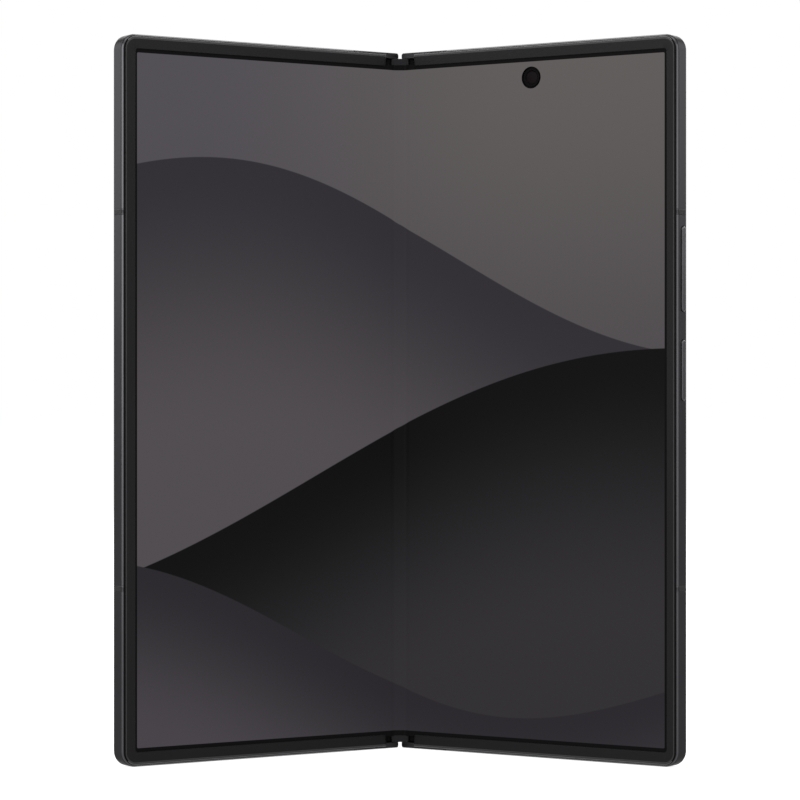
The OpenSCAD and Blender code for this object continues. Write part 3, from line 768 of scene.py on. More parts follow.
@dataclass(frozen=True)
class Frosted(Finish):
    """Frosted clear polymer that lets a lamp's light through."""

    def dress(self, coat: Coat) -> None:
        """Fills in the polymer's nodes.

        Args:
            coat: The material's tree.
        """
        coat.set("Subsurface Weight", 0.4)
        coat.set("Subsurface Scale", 0.001)
        cloud = self.grain(coat, scale=5000.0, depth=0.000008, swing=0.05)
        self.tones(coat, coat.ramp(cloud, -0.3, 0.3), 0.93, 1.0)


@dataclass(frozen=True)
class SolderMask(Finish):
    """A circuit board's lacquer over raised tracks, with bare gold pads."""

    pad: Colour = (0.6, 0.42, 0.12)
    track_height: float = 0.00003

    def dress(self, coat: Coat) -> None:
        """Fills in the board's nodes.

        Args:
            coat: The material's tree.
        """
        tracks = coat.node("ShaderNodeTexBrick", offset=0.5)
        coat.put(tracks.inputs["Vector"], coat.scaled(coat.place(), (1.0, 0.2, 1.0)))
        coat.put(tracks.inputs["Scale"], 900.0)
        coat.put(tracks.inputs["Mortar Size"], 0.012)
        pads = coat.node("ShaderNodeTexVoronoi", distance="CHEBYCHEV")
        coat.put(pads.inputs["Vector"], coat.place())
        coat.put(pads.inputs["Scale"], 420.0)
        bare = coat.ramp(pads.outputs["Distance"], 0.16, 0.12)
        lacquer = coat.mix(tracks.outputs["Fac"], self.colour, self.shade(1.6))
        coat.set("Base Color", coat.mix(bare, lacquer, self.pad))
        coat.set("Metallic", bare)
        coat.set("Roughness", coat.ramp(bare, 0.0, 1.0, self.roughness, 0.25))
        coat.bump(tracks.outputs["Fac"], self.track_height)


@dataclass(frozen=True)
class Winding(Finish):
    """Enamelled wire wound flat, seen as close circles about the coil's middle."""

    centre: tuple = (0.0, 0.0, 0.0)
    wire: float = 0.0004

    def dress(self, coat: Coat) -> None:
        """Fills in the coil's nodes.

        Args:
            coat: The material's tree.
        """
        coat.set("Metallic", 1.0)
        coat.set("Coat Weight", 0.5)
        away = coat.node("ShaderNodeVectorMath", operation="DISTANCE")
        coat.fill_in(away, coat.place(), self.centre)
        turns = coat.math("SINE", coat.math("MULTIPLY", away.outputs["Value"], 2 * math.pi / self.wire))
        coat.bump(turns, self.wire / 4)
        self.tones(coat, coat.ramp(turns, -1.0, 0.4), 0.3, 1.0)
        coat.set("Roughness", coat.ramp(turns, -1.0, 1.0, 0.5, self.roughness))


@dataclass(frozen=True)
class TracedFilm(Finish):
    """Amber flexible circuit with copper tracks under it."""

    def dress(self, coat: Coat) -> None:
        """Fills in the film's nodes.

        Args:
            coat: The material's tree.
        """
        tracks = coat.fill_in(coat.node("ShaderNodeTexWave", bands_direction="Z"), coat.place(), 500.0)
        self.tones(coat, coat.ramp(tracks.outputs["Fac"], 0.4, 0.6), 0.55, 1.0)
        self.grain(coat, scale=6000.0, depth=0.000004, swing=0.05)


@dataclass(frozen=True)
class Wrap(Finish):
    """The foil wrap of a battery cell, faintly wrinkled."""

    crease_height: float = 0.0001

    def dress(self, coat: Coat) -> None:
        """Fills in the wrap's nodes.

        Args:
            coat: The material's tree.
        """
        creases = coat.noise(coat.scaled(coat.place(), (1.0, 1.0, 0.3)), 160.0, 4.0, 0.6)
        coat.bump(creases, self.crease_height)
        low, high = self.roughness - 0.1, self.roughness + 0.1
        coat.set("Roughness", coat.ramp(creases, 0.3, 0.7, low, high))
        self.tones(coat, creases, 0.8, 1.3)


@dataclass(frozen=True)
class ScreenOff(Finish):
    """A dark display panel behind glass, with the fine lattice of its pixels."""

    def dress(self, coat: Coat) -> None:
        """Fills in the panel's nodes.

        Args:
            coat: The material's tree.
        """
        coat.set("Specular IOR Level", 0.03)
        lattice = coat.node("ShaderNodeTexVoronoi", distance="MANHATTAN")
        coat.put(lattice.inputs["Vector"], coat.place())
        coat.put(lattice.inputs["Scale"], 9000.0)
        self.tones(coat, coat.ramp(lattice.outputs["Distance"], 0.5, 0.2), 1.0, 1.5)
        self.grain(coat, scale=9000.0, depth=0.0000002, swing=0.03)


@dataclass(frozen=True)
class Dune:
    """One soft curved band of the picture: its ridge and the shades below the ridge."""

    level: float
    swell: float
    length: float
    start: float
    tilt: float
    dark: Colour
    light: Colour
    fade: float


@dataclass(frozen=True)
class LitPicture(Finish):
    """The lit folding screen: curved bands of grey inside a black border."""

    left_edge: float = -67.8
    right_edge: float = 68.2
    low_edge: float = 3.99
    high_edge: float = 154.45
    corner: float = 0.3
    margin: Colour = (0.0025, 0.0025, 0.0026)

    def dress(self, coat: Coat) -> None:
        """Fills in the screen's nodes.

        Args:
            coat: The material's tree.
        """
        coat.set("Base Color", solid(self.colour))
        coat.set("Specular IOR Level", 0.015)
        coat.set("Emission Strength", 1.0)
        map_x, map_z, _ = coat.split(coat.node("ShaderNodeUVMap", uv_map=SURFACE_MAP).outputs[0])
        x = coat.math("MULTIPLY", coat.math("SUBTRACT", map_x, 0.5), MAP_WIDTH)
        z = coat.math("MULTIPLY", map_z, LAYOUT.body_height)
        picture = self.picture(coat, x, z)
        lit = coat.mix(self.border(coat, x, z), self.margin, picture)
        coat.set("Emission Color", lit)
        marks = coat.effect(Smudges, Amount=0.4).outputs["Mask"]
        hazy = self.roughness + 0.12
        coat.set("Roughness", coat.ramp(marks, 0.0, 1.0, self.roughness, hazy))

    def border(self, coat: Coat, x: Feed, z: Feed) -> Socket:
        """Marks the lit area, which has slightly rounded corners.

        Args:
            coat: The material's tree.
            x: The place across, in millimetres.
            z: The place up, in millimetres.

        Returns:
            1 inside the lit area and 0 outside it.
        """
        middle_x, half_x = (self.left_edge + self.right_edge) / 2, (self.right_edge - self.left_edge) / 2
        middle_z, half_z = (self.low_edge + self.high_edge) / 2, (self.high_edge - self.low_edge) / 2
        past_x = self.past(coat, x, middle_x, half_x - self.corner)
        past_z = self.past(coat, z, middle_z, half_z - self.corner)
        squared = coat.math("ADD", coat.math("POWER", past_x, 2.0), coat.math("POWER", past_z, 2.0))
        away = coat.math("SQRT", squared)
        return coat.ramp(away, self.corner + 0.03, self.corner - 0.03, smooth=False)

    def past(self, coat: Coat, value: Feed, middle: float, half: float) -> Socket:
        """Gives how far a place lies beyond a half width from the middle, and at least 0."""
        away = coat.math("ABSOLUTE", coat.math("SUBTRACT", value, middle))
        return coat.math("MAXIMUM", coat.math("SUBTRACT", away, half), 0.0)

    def picture(self, coat: Coat, x: Feed, z: Feed) -> Socket:
        """Lays the bands over a plain sky, from the farthest to the nearest.

        Args:
            coat: The material's tree.
            x: The place across, in millimetres.
            z: The place up, in millimetres.

        Returns:
            The picture's colour.
        """
        across = coat.ramp(x, -66.0, 40.0)
        sky = coat.mix(across, SKY_LEFT, SKY_RIGHT)
        lower = coat.ramp(z, 158.0, 70.0)
        shown = coat.mix(lower, sky, SKY_LOW)
        for dune in DUNES:
            wave = coat.math("SINE", coat.math("ADD", coat.math("DIVIDE", x, dune.length), dune.start))
            ridge = coat.math("ADD", coat.math("MULTIPLY", wave, dune.swell), dune.level)
            ridge = coat.math("ADD", ridge, coat.math("MULTIPLY", x, dune.tilt))
            under = coat.math("SUBTRACT", ridge, z)
            shade = coat.mix(coat.ramp(under, 0.0, dune.fade), dune.dark, dune.light)
            shown = coat.mix(coat.ramp(under, -0.1, 0.1, smooth=False), shown, shade)
        return shown


SKY_LEFT: Colour = (0.082, 0.075, 0.088)
SKY_RIGHT: Colour = (0.115, 0.105, 0.102)
SKY_LOW: Colour = (0.075, 0.068, 0.075)
DUNES = (
    Dune(level=112.0, swell=17.0, length=37.0, start=2.7, tilt=-0.08,
         dark=(0.030, 0.027, 0.033), light=(0.080, 0.072, 0.080), fade=62.0),
    Dune(level=66.0, swell=15.0, length=45.0, start=0.5, tilt=0.16,
         dark=(0.0035, 0.0035, 0.0035), light=(0.030, 0.028, 0.031), fade=60.0),
    Dune(level=24.0, swell=13.0, length=31.0, start=4.0, tilt=-0.10,
         dark=(0.022, 0.020, 0.024), light=(0.062, 0.055, 0.064), fade=38.0),
)
MAP_WIDTH = 144.0


@dataclass(frozen=True)
class StudioFloor(Finish):
    """The pale floor: white to the camera where nothing shades it."""

    glow: float = 0.82

    def dress(self, coat: Coat) -> None:
        """Fills in the floor's nodes.

        Args:
            coat: The material's tree.
        """
        coat.set("Specular IOR Level", 0.0)
        coat.set("Emission Color", WHITE)
        coat.set("Emission Strength", coat.math("MULTIPLY", coat.seen(), self.glow))
        speck = coat.noise(coat.place(), 30.0, 2.0)
        self.tones(coat, speck, 1.0, 1.02)


class Palette:
    """Every finish of the phone, by the part that wears it."""

    FRAME = SatinMetal("anodised_frame", (0.0235, 0.023, 0.0245), 0.34, grazing=0.5)
    # Lighter metal on the cut chamfer and the keys' front edges: the chamfer's cut finish, with a painted
    # highlight on both.
    CUT_EDGE_HIGHLIGHT = SatinMetal("cut_edge_painted_highlight", (0.052, 0.051, 0.054), 0.24, wear=0.15)
    # Black for the gasket behind the bezel, also painted shade in the frame's pocket and hollow, on the port
    # shell and on the caps' deep faces.
    GASKET_AND_SHADE = Moulded("black_gasket_and_painted_shade", (0.004, 0.004, 0.004), 0.6, specular=0.1)
    KEY = SatinMetal("anodised_key", (0.040, 0.039, 0.041), 0.32, grazing=0.5)
    SPINE = SatinMetal("anodised_spine", (0.06, 0.06, 0.064), 0.36, grazing=0.7)
    ISLAND = SatinMetal("blasted_island", (0.07, 0.07, 0.075), 0.42, grain_depth=0.000007)
    RING = TurnedMetal("turned_ring", (0.12, 0.12, 0.125), 0.22, wear=0.5)
    ANTENNA = Moulded("antenna_moulding", (0.014, 0.014, 0.015), 0.55, specular=0.04)
    # The antenna polymer on the chamfer, lighter as a painted highlight.
    ANTENNA_CUT = Moulded("antenna_cut", (0.050, 0.050, 0.053), 0.5, specular=0.1)
    BEZEL = Moulded("bezel_moulding", (0.0043, 0.0043, 0.0050), 0.42, specular=0.10)
    # Painted highlights on the bezel's rounded rim: lighter at its ends, brightest in a glint at the end's
    # edge.
    BEZEL_END = Moulded("bezel_end_rim", (0.026, 0.026, 0.027), 0.4, specular=0.2)
    BEZEL_END_GLINT = Moulded("bezel_end_fade", (0.175, 0.175, 0.180), 0.4, specular=0.3)
    BEZEL_RIM_HIGHLIGHT = Moulded("bezel_rim_painted_highlight", (0.019, 0.019, 0.020), 0.35, specular=0.2)
    CAP = Moulded("cap_moulding", (0.0055, 0.0055, 0.0065), 0.5, specular=0.12)
    BLACK = Moulded("black_moulding", (0.012, 0.012, 0.012), 0.55)
    TONGUE = Moulded("port_tongue", (0.02, 0.02, 0.022), 0.5)
    SCREEN_EDGE = Moulded("screen_edge", (0.005, 0.005, 0.006), 0.3)
    PICTURE = LitPicture("lit_picture", (0.002, 0.002, 0.002), 0.4)
    PANEL = ScreenOff("cover_panel", (0.004, 0.0042, 0.005), 0.5)
    PRINT = Moulded("black_print", (0.002, 0.002, 0.002), 0.5, specular=0.05)
    BACK_GLASS = EtchedGlass("etched_rear_glass", (0.017, 0.017, 0.019), 0.36)
    COVER_GLASS = ClearGlass("polished_cover_glass", (0.97, 0.98, 0.98), 0.0)
    LENS_GLASS = ClearGlass("lens_window", (0.96, 0.97, 0.98), 0.0, index=1.2)
    LENS = CoatedLens("coated_lens", (0.004, 0.006, 0.012), 0.02)
    SMALL_LENS = CoatedLens("small_coated_lens", (0.0042, 0.0026, 0.0030), 0.4, (0.004, 0.003, 0.003), 0.0,
                            specular=0.03, coat=0.0)
    BARREL = Moulded("camera_barrel", (0.0016, 0.0013, 0.0013), 0.5, specular=0.03)
    FLASH = Frosted("flash_diffuser", (0.85, 0.83, 0.70), 0.35)
    GOLD = BrushedMetal("gold_contact", (0.75, 0.52, 0.2), 0.25)
    STEEL = BrushedMetal("plain_steel", (0.46, 0.46, 0.47), 0.3)
    SHIELD = BrushedMetal("nickel_silver", (0.6, 0.6, 0.61), 0.28)
    GEAR = BrushedMetal("hinge_steel", (0.5, 0.5, 0.5), 0.33)
    MAGNET = BrushedMetal("nickel_plate", (0.6, 0.6, 0.62), 0.12, depth=0.000001)
    BOARD = SolderMask("solder_mask", (0.02, 0.10, 0.07), 0.4)
    CELL = Wrap("cell_wrap", (0.03, 0.03, 0.035), 0.45)
    FILM = TracedFilm("polyimide_film", (0.5, 0.25, 0.06), 0.3)
    FLOOR = StudioFloor("studio_floor", (0.40, 0.40, 0.40), 0.9)


# ---- mesh helpers


class Shape:
    """A mesh under construction, in the flat millimetres (u, w, z) of a half."""

    def __init__(self) -> None:
        """Starts an empty mesh with one map."""
        self.mesh = bmesh.new()
        self.map = self.mesh.loops.layers.uv.new(SURFACE_MAP)

    def face(self, verts: Sequence[Vert], spots: Sequence[tuple] | None = None, finish: int = 0) -> Face:
        """Adds a face.

        Args:
            verts: Its corners.
            spots: The corners' places on the map.
            finish: Index of its material.

        Returns:
            The new face.
        """
        made = self.mesh.faces.new(verts)
        made.material_index = finish
        for loop, spot in zip(made.loops, spots or ()):
            loop[self.map].uv = spot
        return made

    def strip(self, near: Sequence[Vert], far: Sequence[Vert], finish: int = 0,
              spot: Callable[[Vector], tuple] | None = None) -> None:
        """Joins two rings of the same number of points.

        Args:
            near: The first ring.
            far: The second ring.
            finish: Index of the material.
            spot: Gives a place's spot on the map.
        """
        for i, (a, b) in enumerate(zip(near, far)):
            j = (i + 1) % len(near)
            corners = (a, near[j], far[j], b)
            self.face(corners, spot and [spot(vert.co) for vert in corners], finish)

    def loft(self, rings: Sequence[Sequence[FlatPoint]]) -> list[list[Vert]]:
        """Joins rings of the same number of points into a closed skin.

        Args:
            rings: Closed outlines, in order.

        Returns:
            The rings' vertices.
        """
        made = [[self.mesh.verts.new(point) for point in ring] for ring in rings]
        for near, far in zip(made, made[1:]):
            self.strip(near, far)
        self.face(made[0])
        self.face(list(reversed(made[-1])))
        return made

    def circle(self, u: float, w: float, z: float, radius: float, steps: int) -> list[Vert]:
        """Adds the points of a circle that lies level with the half's faces."""
        turns = [2 * math.pi * i / steps for i in range(steps)]
        return [self.mesh.verts.new((u + radius * math.cos(t), w, z + radius * math.sin(t))) for t in turns]

    def lathe(self, u: float, z: float, profile: Sequence[Pair], steps: int = 96,
              finish: int = 0) -> None:
        """Turns a profile about an axis that runs through the half's thickness.

        Args:
            u: The axis's distance from the spine.
            z: The axis's height.
            profile: Places (radius, depth) in order; a radius of 0 closes the end in one point.
            steps: Facets round the axis.
            finish: Index of the material.
        """
        rows, run, last = [], [], None
        for radius, w in profile:
            run.append((run[-1] + math.hypot(radius - last[0], w - last[1])) if run else 0.0)
            last = (radius, w)
            closes = radius < 1e-6
            rows.append([self.mesh.verts.new((u, w, z))] if closes else self.circle(u, w, z, radius, steps))
        joined = list(zip(rows, rows[1:], run, run[1:]))
        if len(rows[0]) > 1 and len(rows[-1]) > 1:
            joined.append((rows[-1], rows[0], run[-1], run[-1]))
        for near, far, low, high in joined:
            for i in range(steps):
                j = (i + 1) % steps
                corners = [near[i % len(near)], near[j % len(near)], far[j % len(far)], far[i % len(far)]]
                places = [(i / steps, low * MM), ((i + 1) / steps, low * MM),
                          ((i + 1) / steps, high * MM), (i / steps, high * MM)]
                kept = [n for n in range(4) if corners[n] not in corners[:n]]
                if len(kept) > 2:
                    self.face([corners[n] for n in kept], [places[n] for n in kept], finish)

    def block(self, u: tuple, w: tuple, z: tuple, round_by: float = 0.0, finish: int = 0) -> None:
        """Adds a box between two corners, with its edges rounded.

        Args:
            u: Its lowest and highest distance from the spine.
            w: Its least and greatest depth.
            z: Its bottom and top.
            round_by: Radius of the rounded edges.
            finish: Index of the material.
        """
        corners = [self.mesh.verts.new((u[i], w[j], z[k])) for i in (0, 1) for j in (0, 1) for k in (0, 1)]
        sides = ((0, 1, 3, 2), (4, 6, 7, 5), (0, 4, 5, 1), (2, 3, 7, 6), (0, 2, 6, 4), (1, 5, 7, 3))
        faces = [self.face([corners[n] for n in side], finish=finish) for side in sides]
        if round_by:
            edges = list({edge for face in faces for edge in face.edges})
            bmesh.ops.bevel(self.mesh, geom=edges, offset=round_by, segments=3, profile=0.5, affect="EDGES")

    def set_on(self, side: Side | None) -> Mesh:
        """Moves the finished mesh into the row frame, in metres.

        Args:
            side: The half that it lies on, or None where it was drawn in the row frame already.

        Returns:
            The mesh.
        """
        for vert in self.mesh.verts:
            vert.co = LAYOUT.place(side, *vert.co) if side else vert.co * MM
        return self.mesh


def on_circle(middle: Pair, radius: float, turn: float) -> Pair:
    """Gives the point of a circle at an angle in radians."""
    return middle[0] + radius * math.cos(turn), middle[1] + radius * math.sin(turn)


def arc(middle: Pair, radius: float, start: float, end: float, steps: int = 6) -> list[Pair]:
    """Gives points on an arc.

    Args:
        middle: Centre of the arc.
        radius: Its radius.
        start: Angle of the first point, in degrees.
        end: Angle of the last point, in degrees.
        steps: Chords between them.

    Returns:
        The points, from start to end.
    """
    turns = [math.radians(start + (end - start) * i / steps) for i in range(steps + 1)]
    return [on_circle(middle, radius, turn) for turn in turns]


def softened(node: str, width: float, wanted: Callable[[Vector], bool] | None = None,
             segments: int = 3) -> Mesh:
    """Copies a CAD node's mesh and rounds its edges.

    Args:
        node: The CAD node.
        width: Radius of the rounded edges, in millimetres.
        wanted: Says of an edge's middle, in the row frame, whether that edge is rounded.
        segments: Steps across each rounded edge.

    Returns:
        The rounded mesh, in the row frame.
    """
    mesh = bmesh.new()
    mesh.from_mesh(frame["nodes"][node].data)
    bmesh.ops.remove_doubles(mesh, verts=mesh.verts, dist=WELD_REACH)
    bmesh.ops.dissolve_limit(mesh, angle_limit=FLAT_ANGLE, verts=mesh.verts, edges=mesh.edges)
    round_edges(mesh, width, wanted, segments)
    return mesh


def round_edges(mesh: Mesh, width: float, wanted: Callable[[Vector], bool] | None,
                segments: int) -> None:
    """Rounds a mesh's crisp edges.

    Args:
        mesh: The mesh, in the row frame.
        width: Radius of the rounded edges, in millimetres.
        wanted: Says of an edge's middle whether that edge is rounded; None rounds them all.
        segments: Steps across each rounded edge.
    """
    crisp = []
    for edge in mesh.edges:
        if len(edge.link_faces) != 2 or edge.calc_face_angle(0.0) < CRISP_ANGLE:
            continue
        middle = (edge.verts[0].co + edge.verts[1].co) / 2
        if wanted is None or wanted(middle):
            crisp.append(edge)
    bmesh.ops.bevel(mesh, geom=crisp, offset=width * MM, segments=segments, profile=0.5,
                    affect="EDGES", clamp_overlap=wanted is None)


def score(mesh: Mesh, place: Sequence[float], normal: Sequence[float]) -> None:
    """Cuts a mesh's faces where they meet a plane.

    Args:
        mesh: The mesh, in the row frame.
        place: A place on the plane.
        normal: The plane's normal.
    """
    parts = [*mesh.verts, *mesh.edges, *mesh.faces]
    bmesh.ops.bisect_plane(mesh, geom=parts, dist=SCORE_REACH, plane_co=place, plane_no=normal)
    mesh.normal_update()


def show(name: str, data: bpy.types.ID) -> Object:
    """Adds an object to the scene.

    Args:
        name: The object's name.
        data: Its mesh, lamp or camera.

    Returns:
        The object.
    """
    made = bpy.data.objects.new(name, data)
    bpy.context.scene.collection.objects.link(made)
    return made


def make_piece(name: str, mesh: Mesh, finishes: Sequence[Finish], body: str | None,
               replaces: Sequence[str] = (), crease: float = 32.0) -> Object:
    """Turns a finished mesh into a piece that rides on a body.

    Args:
        name: The piece's name.
        mesh: Its mesh, in the row frame.
        finishes: Its finishes, by material index.
        body: The CAD body that it rides on, or None for a piece that rides on none.
        replaces: The CAD nodes that it stands for.
        crease: Angle above which an edge stays sharp, in degrees.

    Returns:
        The piece.
    """
    bmesh.ops.recalc_face_normals(mesh, faces=mesh.faces)
    data = bpy.data.meshes.new(name)
    mesh.to_mesh(data)
    mesh.free()
    data.polygons.foreach_set("use_smooth", [True] * len(data.polygons))
    data.set_sharp_from_angle(angle=math.radians(crease))
    made = show(name, data)
    for finish in finishes:
        data.materials.append(finish.material())
    weighted = made.modifiers.new("even_normals", "WEIGHTED_NORMAL")
    weighted.keep_sharp = True
    weighted.weight = 80
    if body:
        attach(made, body)
    if replaces:
        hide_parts(*replaces)
    log.info("%s: %d faces", name, len(data.polygons))
    return made


@dataclass(frozen=True)
class SoftPart:
    """A piece that copies one CAD node's mesh, with all its edges rounded."""

    name: str
    node: str
    width: float
    finish: Finish
    body: str
    slot: str
    segments: int = 3

    def build(self) -> Object:
        """Makes the piece."""
        mesh = softened(self.node, self.width, segments=self.segments)
        return make_piece(self.name, mesh, (self.finish,), self.body, (self.node,))


def wear(node: str, finish: Finish) -> None:
    """Gives a CAD node that stays in view its finish.

    Args:
        node: The CAD node.
        finish: What it wears.
    """
    data = frame["nodes"][node].data
    data.materials.clear()
    data.materials.append(finish.material())


# ---- the halves


@dataclass(frozen=True)
class Half:
    """One half of the body's shell: its rail, antenna lines and bezel."""

    side: Side
    bezel_inner: float
    plain_u: float = 1.2
    skin: float = 0.52
    back_skin: float = 0.6
    cut_reach: Pair = (0.02, 0.03)
    edge_round: float = 0.05
    cut_round: float = 0.16
    cut_edge_highlight_depth: float = 0.5
    cut_edge_highlight_width: float = 0.35
    cut_edge_highlight_facing: Pair = (0.52, 0.85)
    painted_highlight_from: float = 0.09
    lip: float = 0.38
    pocket: float = 1.0
    end_wall: float = 1.2
    hollow_u: float = 5.0
    hollow_deep: float = 3.6
    line_zs: Pair = (38.5, 119.9)
    line_half: float = 0.45

    def named(self, word: str) -> str:
        """Puts the half's own word before a name."""
        return f"{self.side.word}_{word}"

    def on_skin(self, point: Vector) -> bool:
        """Says whether a place lies on the half's outer faces or their front chamfer.

        Args:
            point: The place, in the row frame.

        Returns:
            Whether it lies there.
        """
        u, w, z = LAYOUT.flat(self.side, point)
        on_back = w > LAYOUT.body_depth - self.back_skin
        return u > self.plain_u and (LAYOUT.inside(u, z) < self.skin or on_back)

    def on_cut(self, point: Vector) -> bool:
        """Says whether a place lies on the edge between the outer wall and the front chamfer."""
        u, w, z = LAYOUT.flat(self.side, point)
        return abs(w - self.cut_edge_highlight_depth) < self.cut_reach[0] and LAYOUT.inside(u, z) < self.cut_reach[1]

    def rounded_skin(self, node: str) -> Mesh:
        """Rounds the chamfer's outer edge well and the other outer edges a little.

        Args:
            node: The CAD node of the rail or its antenna breaks.

        Returns:
            The rounded mesh.
        """
        mesh = softened(node, self.cut_round, self.on_cut)
        round_edges(mesh, self.edge_round, self.on_skin, segments=2)
        # Cuts the chamfer where its painted highlight begins.
        score(mesh, LAYOUT.place(self.side, 0, self.painted_highlight_from, 0), LAYOUT.along(self.side, 0, 1))
        return mesh

    def build_rail(self) -> Object:
        """Makes the metal frame with rounded edges, a cut chamfer with a painted highlight, and painted
        shade in its pocket and hollow.

        Returns:
            The rail.
        """
        node = self.named("frame")
        mesh = self.rounded_skin(node)
        for face in mesh.faces:
            u, w, z = LAYOUT.flat(self.side, face.calc_center_median())
            inside = LAYOUT.inside(u, z)
            # Chamfer faces wear the painted highlight; pocket and hollow walls are painted black as shade.
            if self.is_chamfer(face, w, inside):
                face.material_index = 1
            elif self.is_shaded_wall(u, w, z, inside):
                face.material_index = 2
        return make_piece(self.named("rail"), mesh, (Palette.FRAME, Palette.CUT_EDGE_HIGHLIGHT, Palette.GASKET_AND_SHADE),
                          self.side.body, (node,))

    def is_chamfer(self, face: Face, w: float, inside: float) -> bool:
        """Says whether a face is part of the chamfer's painted highlight.

        Args:
            face: The face.
            w: Its depth.
            inside: How far it lies inside the outline.

        Returns:
            Whether it is part of the cut.
        """
        low, high = self.cut_edge_highlight_facing
        front = -face.normal.dot(LAYOUT.along(self.side, 0, 1).normalized())
        at_cut = self.painted_highlight_from < w < self.cut_edge_highlight_depth and inside < self.cut_edge_highlight_width + 0.1
        return at_cut and low < front < high

    def is_shaded_wall(self, u: float, w: float, z: float, inside: float) -> bool:
        """Says whether a face lies in the screen's pocket or the spine's hollow, which are painted black as
        shade.

        Args:
            u: The face's distance from the spine.
            w: Its depth.
            z: Its height.
            inside: How far it lies inside the outline.

        Returns:
            Whether it is painted black as shade.
        """
        in_span = self.end_wall - 0.05 < z < LAYOUT.body_height - self.end_wall + 0.05
        in_hollow = in_span and u < self.hollow_u and w < self.hollow_deep
        in_pocket = 0.02 < w < self.pocket and inside > self.lip and u > self.hollow_u
        return in_hollow or in_pocket

    def build_antenna_lines(self) -> Object:
        """Makes the polymer breaks in the rail.

        Returns:
            The antenna lines.
        """
        node = self.named("antenna_breaks")
        mesh = self.rounded_skin(node)
        for middle in self.line_zs:
            for z in (middle - self.line_half, middle + self.line_half):
                score(mesh, (0.0, 0.0, z * MM), (0.0, 0.0, 1.0))
        for face in mesh.faces:
            u, w, z = LAYOUT.flat(self.side, face.calc_center_median())
            painted = any(self.line_half < abs(z - middle) < self.line_half * 2 for middle in self.line_zs)
            # Chamfer faces wear the lighter painted highlight.
            face.material_index = 2 * painted + self.is_chamfer(face, w, LAYOUT.inside(u, z))
        finishes = (Palette.ANTENNA, Palette.ANTENNA_CUT, Palette.FRAME, Palette.CUT_EDGE_HIGHLIGHT)
        return make_piece(self.named("antenna_lines"), mesh, finishes, self.side.body,
                          (node,))

    def build(self) -> None:
        """Builds every piece of the half's shell."""
        self.build_rail()
        self.build_antenna_lines()
        BezelRing(self.side, self.bezel_inner).build()


